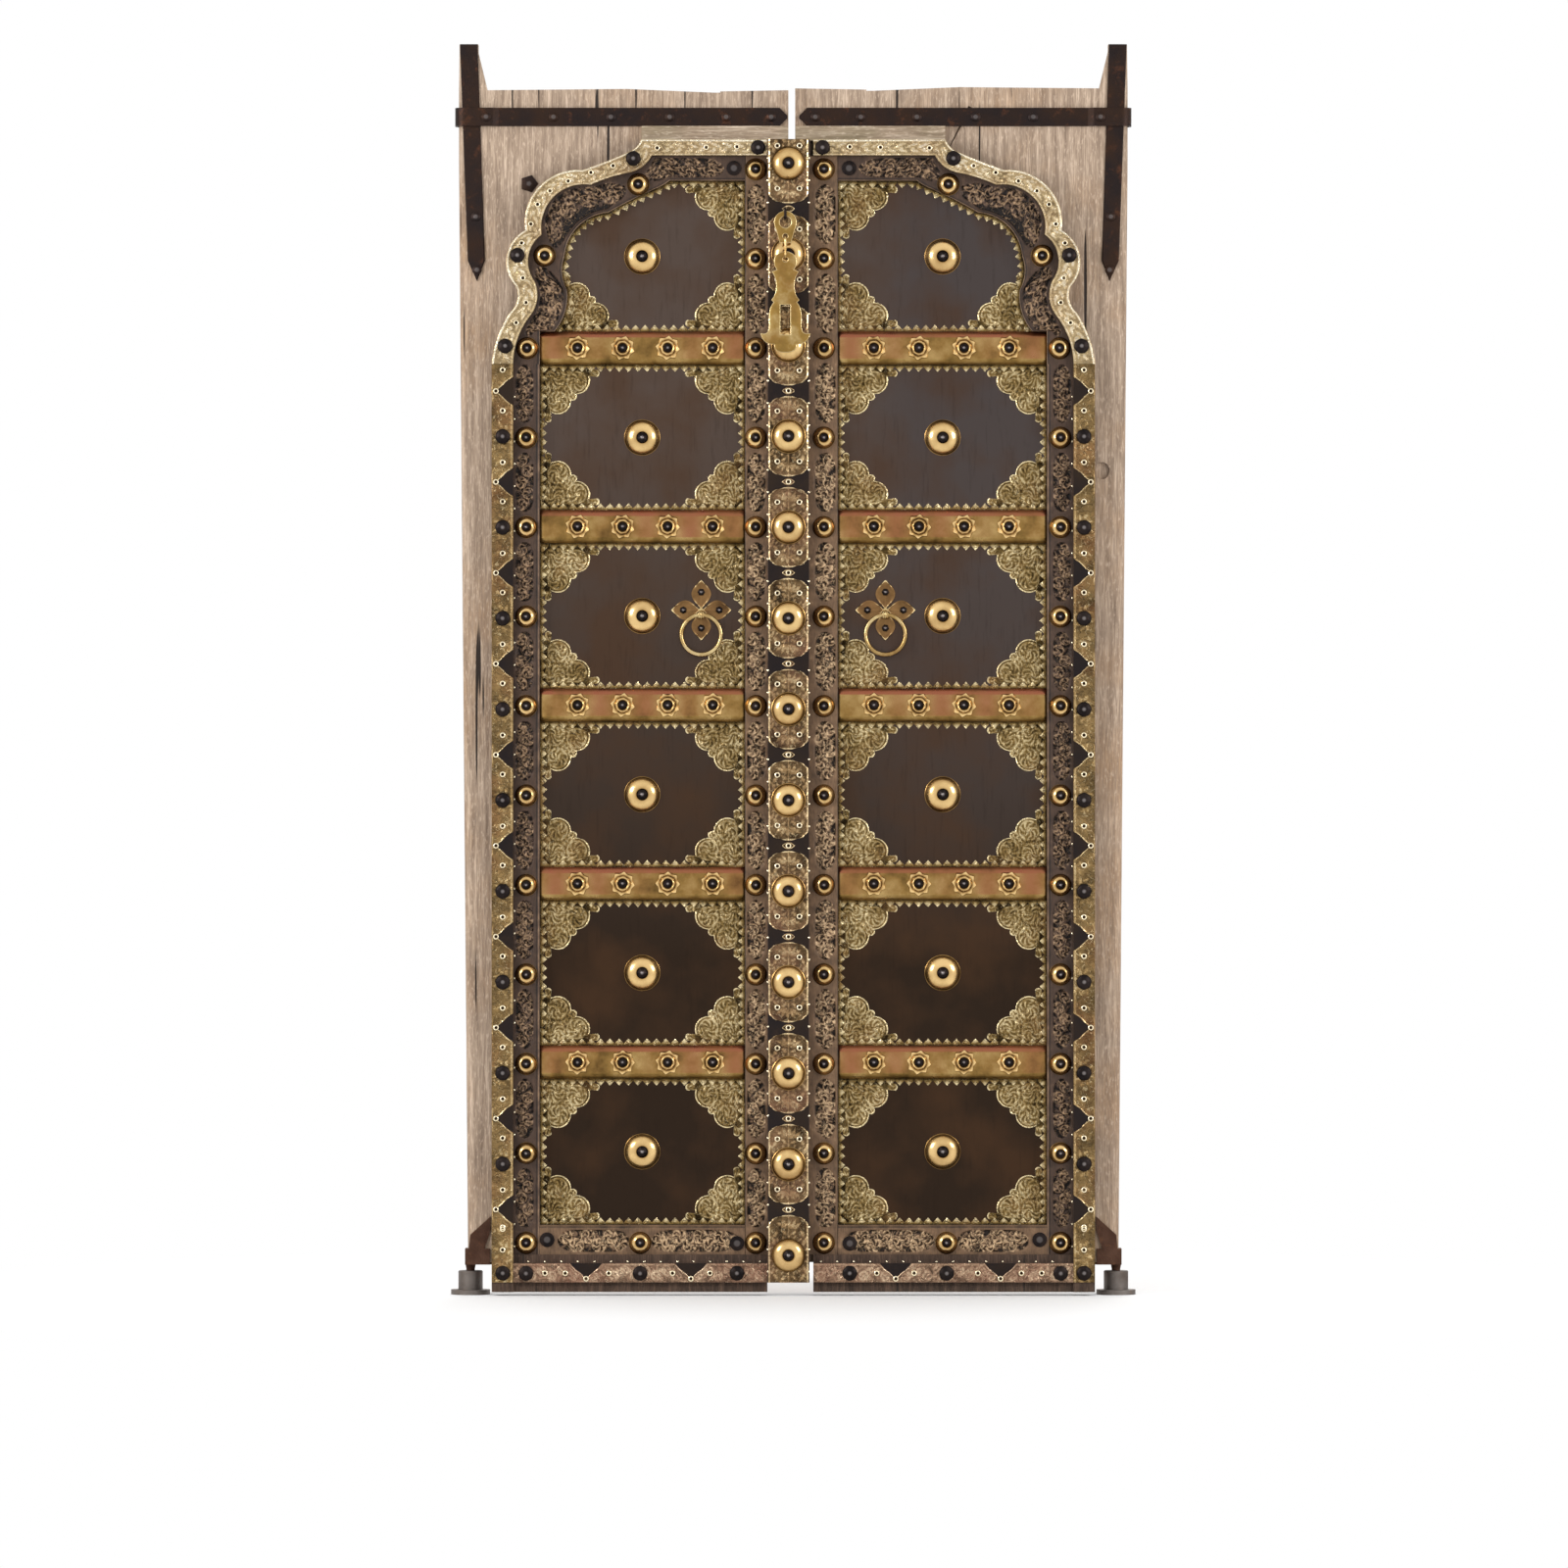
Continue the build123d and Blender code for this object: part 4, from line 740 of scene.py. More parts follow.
def rail_covers(leaf):
    """Brass folded over each rail, dented between its rosettes and drawn in at its ends."""
    start, end = STILE[leaf], SIDE_IN
    us = np.linspace(start, end, 150)
    section = [(-RAIL_HALF, 0.3), (-RAIL_HALF, RAIL_EDGE - 1), (-RAIL_HALF + 0.6, RAIL_EDGE),
               (-24, RAIL_EDGE + 2.8), (-20.4, RAIL_FACE - 1), (-18.6, RAIL_FACE), (-16.5, RAIL_FACE - 0.5),
               (-6, RAIL_FACE - 0.3), (6, RAIL_FACE - 0.3), (16.2, RAIL_FACE - 0.5), (18.2, RAIL_FACE + 0.3),
               (20.0, RAIL_FACE - 0.6), (24, RAIL_EDGE + 2.8), (RAIL_HALF - 0.6, RAIL_EDGE),
               (RAIL_HALF, RAIL_EDGE - 1), (RAIL_HALF, 0.3)]
    dz, rise = (np.array(v, float) for v in zip(*section))
    parts = []
    for number, z in enumerate(RAIL_ZS):
        grid = points(us[:, None], z + dz)
        depth = np.broadcast_to(rise, grid.shape[:2]).copy()
        to_end = np.minimum(us - start, end - us)[:, None]
        depth -= 2.2 * np.exp(-to_end / 4.0) * (rise[None, :] > 5)
        wobble = 0.25 * np.sin(us / 17 + number * 2.1) + 0.15 * np.sin(us / 7.3 + number)
        depth += wobble[:, None] * (rise[None, :] > 5) - 0.4 * (rise[None, :] > 5)
        between_stars = 0.5 - 0.5 * np.cos((us - STAR_U) * tau / STAR_PITCH)
        patchy = 0.55 + 0.45 * np.sin(us / 61 + number * 1.7)
        bare = np.maximum((between_stars * 0.8 * patchy)[:, None] * (np.abs(dz) < 18), 1.0 * (dz > 18))
        # The worked share paints shade: none down the rail's sides, less towards its ends and beside the
        # beads at the face's edges
        worked = np.clip((rise[None, :] - 4) / 8, 0, 1) * np.clip(to_end / 7 + 0.25, 0, 1)
        worked = worked * (1 - 0.55 * np.exp(-((np.abs(dz)[None, :] - 19.4) / 1.5) ** 2))
        parts.append(slab(place_on(leaf, grid), depth, 0.0, worked, bare))
    return parts


def corner_reach(angle):
    """How far a corner plate reaches at this angle from its corner: lobes, curls and feet."""
    reach = np.full_like(angle, 30.0)
    for at_x, at_y, radius in ((60, 26, 22), (29, 59, 22), (91, 14, 6.5), (54, 52, 6.5), (13, 88, 6.5)):
        dx, dy = np.cos(angle), np.sin(angle)
        along = at_x * dx + at_y * dy
        off = at_x ** 2 + at_y ** 2 - along ** 2
        hit = off < radius ** 2
        reach[hit] = np.maximum(reach[hit], (along + np.sqrt(np.clip(radius ** 2 - off, 0, None)))[hit])
    return np.maximum(reach, 68 - 6 * np.cos(4 * angle))


UNDER_ARCH = 383.0


def corner_plates(leaf):
    """Pierced corner plates, chased with pinwheel scrolls round a raised edge."""
    angle = np.linspace(0, pi / 2, 70)
    reach = corner_reach(angle)
    shares = np.concatenate([np.linspace(0.02, 0.93, 27), [0.95, 0.965, 0.98, 0.99, 1.0]])
    rays = shares[None, :] * reach[:, None]
    x, y = rays * np.cos(angle)[:, None], rays * np.sin(angle)[:, None]
    wheels = [(60, 27, 17, 1), (29, 60, 17, -1), (24, 23, 17, 1), (91, 14, 7, 1), (54, 52, 7, 1),
              (13, 87, 7, 1), (44, 44, 9, -1), (88, 0, 9, -1), (2, 86, 9, 1), (42, 8, 9, 1), (8, 42, 9, 1)]
    height = pinwheels(x, y, wheels)
    edge = np.exp(-((reach[:, None] - rays - 1.2) / 1.4) ** 2)
    worked = np.clip(np.maximum(0.16 + 0.6 * height, 1.1 * edge), 0, 1)
    # Painted shade: the chased work darkens where the plate runs in under the strips' walls
    painted_wall_shade = np.clip((np.minimum(x, y) - 2) / 10, 0.45, 1)
    depth = SHEET_FACE + 0.35 + 1.25 * worked
    parts = []
    for low, top in zip(PANEL_LOWS, PANEL_TOPS):
        arched = top == PANEL_TOP
        far = UNDER_ARCH if arched else SIDE_IN
        corners = [(STILE[leaf], low, 1, 1), (STILE[leaf], top, 1, -1), (far, low, -1, 1)]
        if not arched:
            corners.append((SIDE_IN, top, -1, -1))
        for u, z, way_u, way_z in corners:
            grid = points(u + way_u * x, z + way_z * y)
            if arched and way_u < 0:
                # The arch's edge cuts this one short
                keep = UNDER_ARCH + np.interp(grid[..., 1], [1574, 1610, 1642, 1672], [4, -10, -14, -6])
                grid[..., 0] = np.minimum(grid[..., 0], keep)
            parts.append(slab(place_on(leaf, grid), depth, SHEET_FACE, worked * painted_wall_shade))
    return parts


def plaque_edge(rise):
    """Half the width of a plaque this far above its middle: straight sides and scalloped ends."""
    knots = [0, 48, 51, 53, 55.2, 56.5, 58.5, 60.2, 61.6, 62.6, 63, 64.2, 65.1, 65.7, PLAQUE_H]
    shares = [1, 1, 0.99, 0.96, 0.9, 0.83, 0.8, 0.74, 0.65, 0.52, 0.38, 0.33, 0.24, 0.13, 0.02]
    return np.interp(np.abs(rise), knots, [PLAQUE_W * share for share in shares])


def plaques():
    """The centre strip's bronze plaques: leafwork above and below each dome, and a raised edge."""
    parts = []
    for middle in PLAQUE_ZS:
        low = max(-PLAQUE_H, BAND_LOW - middle)
        top = min(PLAQUE_H, ARCH_TOP - middle)
        steps = np.linspace(0, pi, 84)
        zs = low + (top - low) * (0.5 - 0.5 * np.cos(steps) * (1 - 0.25 * np.sin(steps)))
        half = plaque_edge(zs)
        grid = points(CENTRE_X + half[:, None] * np.linspace(-1, 1, 37), (middle + zs)[:, None])
        x, z = grid[..., 0] - CENTRE_X, grid[..., 1] - middle
        sprays = []
        for way in (-1, 1):
            outward = pi if way < 0 else 0
            for fan in (-1.0, -0.5, 0.0, 0.5, 1.0):
                sprays.append((way * (44 + 8 * cos(fan)), 15 * sin(fan), outward + fan * way, 19, 6.6))
            for side in (-1, 1):
                sprays.append((way * 25, side * 27, way * side * 0.6, 19, 6.0))
                sprays.append((way * 35, side * 22, -way * side * 0.5, 15, 5.4))
                sprays.append((way * 37, side * 8, way * side * 0.9, 13, 5.0))
        for ray in range(20):
            angle = ray * tau / 20
            sprays.append((31 * sin(angle), 31 * cos(angle), pi / 2 - angle, 7, 3.4))
        height = leaves(z, x, sprays)
        to_side = half[:, None] - np.abs(x)
        away = np.minimum(to_side, PLAQUE_H - np.abs(z))
        edge = np.maximum(rim(away - 0.4, 1.4), 0.8 * rim(to_side, 1.3))
        worked = np.maximum(0.2 + 0.62 * height, edge)
        depth = CENTRE_FACE - 1.0 + 1.0 * height + 1.2 * edge
        parts.append(slab(grid, depth, CENTRE_FACE - 1.2, worked))
    return parts


def eyes():
    """Almond-shaped washers with a raised edge, one under each pin between two plaques."""
    parts = []
    along, over = np.linspace(-1, 1, 25), np.linspace(-1, 1, 9)
    half = 5.6 * np.cos(along * pi / 2) ** 0.8 + 0.1
    edge = rim(half[:, None] * (1 - np.abs(over)), 0.9)
    back = CENTRE_FACE - 1.2
    for middle in BETWEEN_ZS[:-1]:
        grid = points((CENTRE_X + 10.5 * along)[:, None], middle + half[:, None] * over)
        parts.append(slab(grid, back + 0.4 + 0.8 * edge, back, edge))
    return parts


# Round brass and iron, each shape turned once and set on its places by Geometry Nodes


def shape_to_set(verts, faces, worked):
    """An object for Geometry Nodes to copy, kept out of the scene."""
    mesh = bpy.data.meshes.new("shape")
    mesh.from_pydata(verts, [], faces)
    record(mesh, "worked", worked)
    face_outward(mesh)
    return bpy.data.objects.new("shape", mesh)


def turned(profile, sides, lobes=0):
    """A closed shape from rings (radius, height, worked, lobe share, cup), its back on the XY plane.

    Lobes are pointed: each ring reaches out by its share at them, and its cup lifts it there.
    """
    last = (len(profile) - 1) * sides
    verts, faces, worked = [], [], []
    for radius, rise, tone, *more in profile:
        lobe, cup = (list(more) + [0, 0])[:2]
        for i in range(sides):
            angle = tau * i / sides
            reach = radius * (1 + lobe * (1 - abs(sin(lobes * angle / 2))))
            wave = cos(lobes * angle)
            verts.append((reach * cos(angle) * MM, reach * sin(angle) * MM, (rise + cup * wave) * MM))
            # The cup also lightens each lobe's lifted point and darkens the dips between them: a painted
            # highlight and shade
            worked.append(tone + 0.25 * cup * wave)
    for start in range(0, last, sides):
        for i in range(sides):
            a, b = start + i, start + (i + 1) % sides
            faces.append((a, b, b + sides, a + sides))
    faces += [tuple(range(last, last + sides)), tuple(reversed(range(sides)))]
    return shape_to_set(verts, faces, worked)


def repeat_tree():
    """Sets a shape on every point, its back to the door, turned by the point and a little at random."""
    tree = bpy.data.node_groups.new("set_on_places", "GeometryNodeTree")
    for label, kind in (("Places", "Geometry"), ("Shape", "Object"), ("Size", "Float"),
                        ("Random turn", "Float"), ("Random lean", "Float"), ("Seed", "Int"),
                        ("Finish", "Material")):
        tree.interface.new_socket(label, in_out="INPUT", socket_type="NodeSocket" + kind)
    tree.interface.new_socket("Pieces", in_out="OUTPUT", socket_type="NodeSocketGeometry")
    given = put(tree, "NodeGroupInput", out=None).outputs
    turn = put(tree, "GeometryNodeInputNamedAttribute", {"Name": "turn"}, data_type="FLOAT")
    spin, lean = [put(tree, "FunctionNodeRandomValue", {"Seed": given["Seed"], 3: given[most]}, out=1,
                      data_type="FLOAT") for most in ("Random turn", "Random lean")]
    whole = put(tree, "ShaderNodeMath", (turn, spin), operation="ADD")
    upright = put(tree, "ShaderNodeMath", (lean, pi / 2), operation="ADD")
    facing = put(tree, "FunctionNodeEulerToRotation", (put(tree, "ShaderNodeCombineXYZ", (upright, whole)),))
    shape = put(tree, "GeometryNodeObjectInfo", {"Object": given["Shape"]}, out="Geometry")
    scale = put(tree, "ShaderNodeCombineXYZ", [given["Size"]] * 3)
    copies = put(tree, "GeometryNodeInstanceOnPoints", {
        "Points": given["Places"], "Instance": shape, "Rotation": facing, "Scale": scale})
    real = put(tree, "GeometryNodeRealizeInstances", (copies,))
    painted = put(tree, "GeometryNodeSetMaterial", {"Geometry": real, "Material": given["Finish"]})
    put(tree, "NodeGroupOutput", (painted,), out=None)
    return tree


SET_ON_PLACES = repeat_tree()


def repeated(name, shape, spots, material, *stands_for, spin=tau, lean=0.0, seed=1, size=1.0, crease=35):
    """One piece made of a shape set on spots (x, depth, z, turn), in the place of these CAD nodes."""
    places = bpy.data.meshes.new(name + "_places")
    places.from_pydata([(x * MM, -depth * MM, z * MM) for x, depth, z, turn in spots], [], [])
    record(places, "turn", [spot[3] for spot in spots])
    holder = join_scene(name + "_places", places)
    bpy.context.scene.collection.objects.link(shape)
    nodes = holder.modifiers.new("copies", "NODES")
    nodes.node_group = SET_ON_PLACES
    names = {item.name: item.identifier for item in SET_ON_PLACES.interface.items_tree}
    for label, value in (("Shape", shape), ("Size", size), ("Random turn", spin), ("Random lean", lean),
                         ("Seed", seed), ("Finish", material)):
        nodes[names[label]] = value
    mesh = shape_of(holder, name)
    bpy.context.scene.collection.objects.unlink(shape)
    show(name, mesh, material, stands_for, crease)


# Profiles of the turned shapes: (radius, height, worked, lobe share, cup) from the back to the tip
# On the domes, bosses, rosettes and pins the worked tones paint light: the bright ring part way up is a
# painted highlight, and the dark ring at the foot and round the nail is tarnish with painted shade
PANEL_DOME = [(29.4, 0, 0.3), (29.4, 0.8, 0.5), (28.6, 1.3, 0.15), (28.0, 1.7, 0.1), (27.2, 3.4, 0.5),
              (25.4, 5.8, 0.65), (22.4, 8.6, 0.75), (18.8, 10.9, 0.9), (15.0, 12.3, 0.9), (11.8, 12.9, 0.8),
              (9.8, 12.7, 0.55), (9.0, 11.6, 0.05), (8.0, 11.2, 0.0)]
BOSS = [(18.3, 0, 0.0), (18.3, 0.8, 0.3), (17.5, 1.4, 0.05), (17.0, 2.4, 0.25), (16.2, 4.6, 0.45),
        (14.2, 8.0, 0.7), (11.6, 10.8, 0.85), (9.2, 12.0, 0.7), (8.0, 11.8, 0.2), (7.2, 10.4, 0.0)]
STRIP_DOME = [(27.9, 0, 0.1), (27.9, 0.8, 0.5), (27.0, 1.3, 0.3), (26.2, 1.0, 0.0), (25.6, 1.6, 0.2),
              (24.4, 3.6, 0.55), (21.0, 6.6, 0.75), (16.8, 8.9, 0.9), (12.4, 9.9, 0.9), (9.8, 9.6, 0.5),
              (8.6, 8.4, 0.0)]
# The same dome with its outer rings drawn in and nicked, as on the strip's two ends
END_DOME = [(min(r, 26.9), h, tone, 0.035 if r > 26 else 0.0) for r, h, tone in STRIP_DOME]
ROSETTE = [(17.4, 0, 0.1, 0.18), (17.4, 1.6, 0.5, 0.19, 0.5), (16.6, 3.0, 0.9, 0.2, 1.0),
           (14.6, 2.6, 0.7, 0.14, 0.6), (13.0, 1.8, 0.15, 0.05, 0.2), (12.2, 2.8, 0.45), (10.8, 4.6, 0.85),
           (9.6, 5.3, 0.8), (8.8, 5.0, 0.3), (7.6, 4.4, 0.0)]
PIN = [(5.0, 0, 0.4), (5.0, 0.8, 0.7), (4.5, 1.7, 1.0), (3.6, 2.2, 1.0), (2.8, 2.0, 0.9), (2.2, 1.3, 0.0),
       (1.2, 1.1, 0.0)]
# The nails' worked tones climb to their tips, where the iron's finish lays its painted highlight
DOME_NAIL = [(8.7, 0, 0.2), (8.9, 1.6, 0.4), (6.6, 3.4, 0.6), (3.2, 4.9, 0.76), (0.9, 5.9, 1.0)]
SMALL_NAIL = [(7.0, 0, 0.2), (7.2, 1.4, 0.4), (5.2, 3.1, 0.6), (2.4, 4.6, 0.76), (0.8, 5.6, 1.0)]
BAND_NAIL = [(11.6, 0, 0.2, 0.0), (12.0, 1.6, 0.3, 0.03), (11.2, 3.0, 0.6, 0.05), (8.4, 4.2, 0.5, 0.1),
             (5.2, 5.1, 0.6, 0.08), (1.6, 5.8, 0.9, 0.0)]
STRAP_NAIL = [(8.0, 0, 0.3), (7.8, 1.2, 0.4), (6.2, 2.2, 0.6), (3.0, 3.0, 0.8)]
FLAT_NAIL = [(12.2, 0, 0.3), (12.0, 1.4, 0.4), (9.4, 2.0, 0.6), (4.0, 2.4, 0.8)]
CORNER_NAIL = [(15.0, 0, 0.3), (14.4, 2.0, 0.4), (9.0, 3.4, 0.6), (3.0, 3.9, 0.8)]
TACK = [(1.6, 0, 0.5), (1.5, 0.7, 0.9), (0.7, 1.2, 1.0)]

BOSS_SPOTS = {leaf: [(436, z) for z in BOSS_ZS[:10]] + [(BOSS_U[leaf], z) for z in BOSS_ZS]
              + [ARCH_BOSSES[2], *ARCH_BOSSES[:2], (250, BOSS_ZS[0])] for leaf in SIDES}
ROSETTE_SPOTS = [(STAR_U + STAR_PITCH * i, z) for z in RAIL_ZS for i in range(4)]
DOME_SPOTS = {leaf: [(DOME_U[leaf], z) for z in DOME_ZS] for leaf in SIDES}
ARCH_NAILS = [(261, 1855), (450, 1697), (470, 1549)]
ARCH_PINS = [(92, 1874), (142, 1873), (222, 1872), (294, 1843), (330, 1832), (367, 1818), (397, 1802),
             (417, 1780), (428, 1748), (443, 1717), (441, 1660), (436, 1620), (452, 1587)]


def tooth():
    """A folded brass tooth on its strip: a ridge runs from the foot to the point, along +Y."""
    half, foot, long = 7.6, 3.4, 11.4
    verts = [(-half, 0, 0), (half, 0, 0), (half, foot, 0), (0, long, 0), (-half, foot, 0),
             (-half, 0, 1.0), (half, 0, 1.0), (half, foot, 0.5), (0, long, 0.7), (-half, foot, 0.5),
             (0, foot + 1.4, 2.0)]
    faces = [(0, 4, 3, 2, 1), (0, 1, 6, 5), (1, 2, 7, 6), (2, 3, 8, 7), (3, 4, 9, 8), (4, 0, 5, 9),
             (5, 6, 10), (6, 7, 10), (7, 8, 10), (8, 9, 10), (9, 5, 10)]
    # The point is the lightest, a painted highlight, though the ridge above it stands higher; the strip stays
    # dark
    return shape_to_set([tuple(c * MM for c in v) for v in verts], faces, [0.1] * 7 + [0.35, 1.0, 0.35, 0.7])


def tooth_spots(leaf):
    """Places along every panel's edges, each tooth turned to point into the panel."""
    spots = []
    side, near, pitch = SIDES[leaf], STILE[leaf], 15.2
    for low, top in zip(PANEL_LOWS, PANEL_TOPS):
        if top < PANEL_TOP:
            first = last = SIDE_IN
            outer = np.array([(first, low), (last, top)])
        else:
            first, last = ARCH_PANEL[-1][-1][0], ARCH_PANEL[0][0][0]
            outer = chain(ARCH_PANEL, (4, 12, 16, 10, 12))[::-1]
        edges = [np.array([(near, low), (first, low)]), outer, np.array([(last, top), (near, top)]),
                 np.array([(near, top), (near, low)])]
        for edge in edges:
            along = np.concatenate([[0], np.cumsum(np.linalg.norm(np.diff(edge, axis=0), axis=1))])
            count = max(1, round(along[-1] / pitch))
            for i in range(count):
                here = (i + 0.5) * along[-1] / count
                behind, (u, z), ahead = ([float(np.interp(here + step, along, edge[:, k])) for k in (0, 1)]
                                         for step in (-1, 0, 1))
                inward = atan2(ahead[0] - behind[0], -(ahead[1] - behind[1]))
                turn = pi / 2 - atan2(sin(inward), side * cos(inward))
                spots.append((side * u, SHEET_FACE + 0.3, z, turn))
    return spots


def on_leaf(leaf, spots, depth):
    """Spots (u, z) of one leaf at this depth, without a turn of their own."""
    return [(SIDES[leaf] * u, depth, z, 0.0) for u, z in spots]


def on_centre(zs, above=0.0, off=(0.0,)):
    """Spots up the centre strip, this far above its face and off its middle line."""
    return [(CENTRE_X + x, CENTRE_FACE + above, z, 0.0) for z in zs for x in off]


# Ring pulls: four raised petals round the eye


def petals(leaf):
    """Four leaves in a cross, each with a raised edge and a vein that fades towards its tip."""
    parts = []
    tip, half, face = 49.0, 15.5, SHEET_FACE + 1.5
    steps = np.linspace(0, 1, 30)
    width = half * np.sin(pi * steps ** 1.05) + 0.4
    for turn in range(4):
        long = (2 + steps * (tip - 2.2))[:, None]
        off = width[:, None] * np.linspace(-1, 1, 15)
        x = long * cos(turn * pi / 2) - off * sin(turn * pi / 2)
        z = long * sin(turn * pi / 2) + off * cos(turn * pi / 2)
        near_edge = width[:, None] - np.abs(off)
        edge = np.maximum(rim(near_edge, 1.0), np.exp(-((tip - long) / 4) ** 2))
        vein = np.exp(-(off / 1.0) ** 2) * np.clip(1 - long / 46, 0, 1)
        depth = face - 0.5 + 1.3 * edge + 0.5 * vein + 0.8 * np.exp(-((long - 12) / 9) ** 2)
        # A hair of height keeps the four from sharing one plane where they cross
        depth = depth + 0.02 * turn
        worked = np.clip(np.maximum(0.3 + 0.1 * vein, edge), 0, 1)
        grid = points(SIDES[leaf] * RING_U + x, RING_Z + z)
        parts.append(slab(grid, depth, SHEET_FACE, worked))
    return parts


def clip(leaf):
    """The broad strap round the ring's wire, as a band about the wire."""
    section = np.array([(4.7, -4.6), (6.6, -4.6), (7.0, -3.4), (7.0, 3.4), (6.6, 4.6), (4.7, 4.6)])
    angle = tau * np.arange(24)[:, None] / 24
    reach, off = section[:, 0], section[:, 1]
    x = SIDES[leaf] * RING_U + off + 0 * angle
    y, z = reach * np.cos(angle) - CLIP_DEPTH, reach * np.sin(angle) + RING_Z - CLIP_DROP
    verts = np.stack([x, y, z], axis=-1)
    index = np.arange(verts.size // 3).reshape(x.shape)
    after = np.roll(index, -1, axis=0)
    faces = np.stack([index, np.roll(index, -1, axis=1), np.roll(after, -1, axis=1), after], axis=-1)
    verts = verts.reshape(-1, 3) * MM
    return [(verts, faces.reshape(-1, 4).tolist(), np.full(len(verts), 0.8), np.zeros(len(verts)))]


# Hasp: the link and the slotted plate, cut from thick sheet with a rounded edge


def both_sides(half):
    """A whole outline from the points (x, z, corner) of its right half, top to foot."""
    mirrored = [(-x, z, corner) for x, z, corner in reversed(half) if x > 0]
    return half + mirrored


def hole(radius, rise):
    """A round hole, by eight smooth points."""
    return [(radius * cos(a * pi / 4), rise + radius * sin(a * pi / 4), False) for a in range(8)]


def cut_plate(node, z, *outlines):
    """A thick flat piece with a rubbed edge, in the place of one of the hasp's nodes: outline, then holes."""
    thick, edge = 3.0, 1.2
    name = node + "_cut"
    curve = bpy.data.curves.new(name, "CURVE")
    curve.dimensions, curve.fill_mode = "2D", "BOTH"
    curve.extrude, curve.bevel_depth = (thick / 2 - edge) * MM, edge * MM
    curve.bevel_resolution, curve.resolution_u = 1, 5
    for outline in outlines:
        spline = curve.splines.new("BEZIER")
        spline.bezier_points.add(len(outline) - 1)
        spline.use_cyclic_u = True
        for knot, (x, rise, corner) in zip(spline.bezier_points, outline):
            knot.co = (x * MM, rise * MM, 0)
            knot.handle_left_type = knot.handle_right_type = "VECTOR" if corner else "AUTO"
    mesh = shape_of(join_scene(name + "_curve", curve), name)
    place = Matrix.Translation((HASP_X * MM, -HASP_FACE * MM, z * MM))
    mesh.transform(place @ Matrix.Rotation(pi / 2, 4, "X"))
    face_outward(mesh, weld=1e-6)
    flat = (HASP_FACE + thick / 2 - 0.01) * MM
    record(mesh, "worked", [0.5 if -vert.co.y > flat else 1.0 for vert in mesh.vertices])
    show(name, mesh, hasp_brass, [node], 30, body=node)


LINK_HALF = [(0, 16.9, False), (11.6, 12.6, False), (16.8, 3.5, False), (16.4, -6, False), (14, -12.5, True),
             (8.6, -32.6, True)]
PLATE_HALF = [(0, 12.2, False), (9.5, 9.6, False), (15.5, 4, False), (17.4, -5, False), (14.5, -14, False),
              (12.5, -17.5, True), (20.4, -20, True), (16, -29, False), (13.8, -40, False),
              (14.4, -51, False), (17.4, -60, False), (21.6, -66, True), (17.6, -69.5, True),
              (22.4, -77, False), (25, -88, False), (25.4, -110, False), (28, -118.5, False),
              (33, -121.6, False), (39.4, -121.4, True), (35, -130.5, False), (26, -136.2, False),
              (17.2, -137.4, True), (16, -144.5, False), (10.5, -148.6, False), (0, -150.2, False)]
PLATE_SLOT = [(9.3, -72.6, True), (9.3, -123.4, True), (-9.3, -123.4, True), (-9.3, -72.6, True)]


# Clenched nails on the back


def clenches(leaf):
    """The bent points of the nails, hammered flat across the back of the boards."""
    random = np.random.default_rng(33)
    spots = BOSS_SPOTS[leaf] + ROSETTE_SPOTS + DOME_SPOTS[leaf] + [(BAND_MIDDLE, z) for z in PLAQUE_ZS[:10]]
    parts = []
    for u, z in spots:
        angle = random.uniform(0, pi)
        along, off = np.meshgrid(np.array([-2.0, 0, 7, 14, 17]), np.array([-1, 0, 1]), indexing="ij")
        off = off * np.array([2.6, 2.6, 2.2, 1.6, 0.4])[:, None]
        grid = points(SIDES[leaf] * u + along * cos(angle) - off * sin(angle),
                      z + along * sin(angle) + off * cos(angle))
        rise = np.array([0.6, 2.2, 2.0, 1.4, 0.5])[:, None] * np.array([0.6, 1, 0.6])[None, :]
        parts.append(slab(grid, -(BOARDS + rise), -(BOARDS - 0.4), 0.4 + 0.2 * rise))
    return parts


# Dressing the leaves


def paint(material, *nodes):
    """Gives CAD nodes that keep their own shape a finish."""
    for name in nodes:
        shown = frame["nodes"][name]
        shown.data.materials.clear()
        shown.data.materials.append(material)


OWN_SHAPE = (
    (boards, "pivot_board", "meeting_board"), (lath, "filler_strip"),
    (strap_iron, "top_strap", "pivot_strap"), (shoe_iron, "pivot_shoe"), (socket_iron, "floor_socket"),
    (ledge, "side_moulding", "bottom_moulding", "arch_moulding"), (cover_iron, "band_iron"),
    (panel_iron, "panels"), (ring_brass, "ring", "ring_eye"),
)
WORKED = (
    (arch_cover, "arch_brass", arch_brass, "band_brass"), (side_band, "side_brass", band_brass),
    (foot_band, "foot_bronze", low_brass), (side_carving, "side_carving", carving, "carved_side"),
    (arch_carving, "arch_carving", carving, "carved_arch"),
    (stile_carving, "stile_carving", pale_carving, "carved_stile"),
    (rail_carving, "rail_carving", pale_carving, "carved_rail"),
)

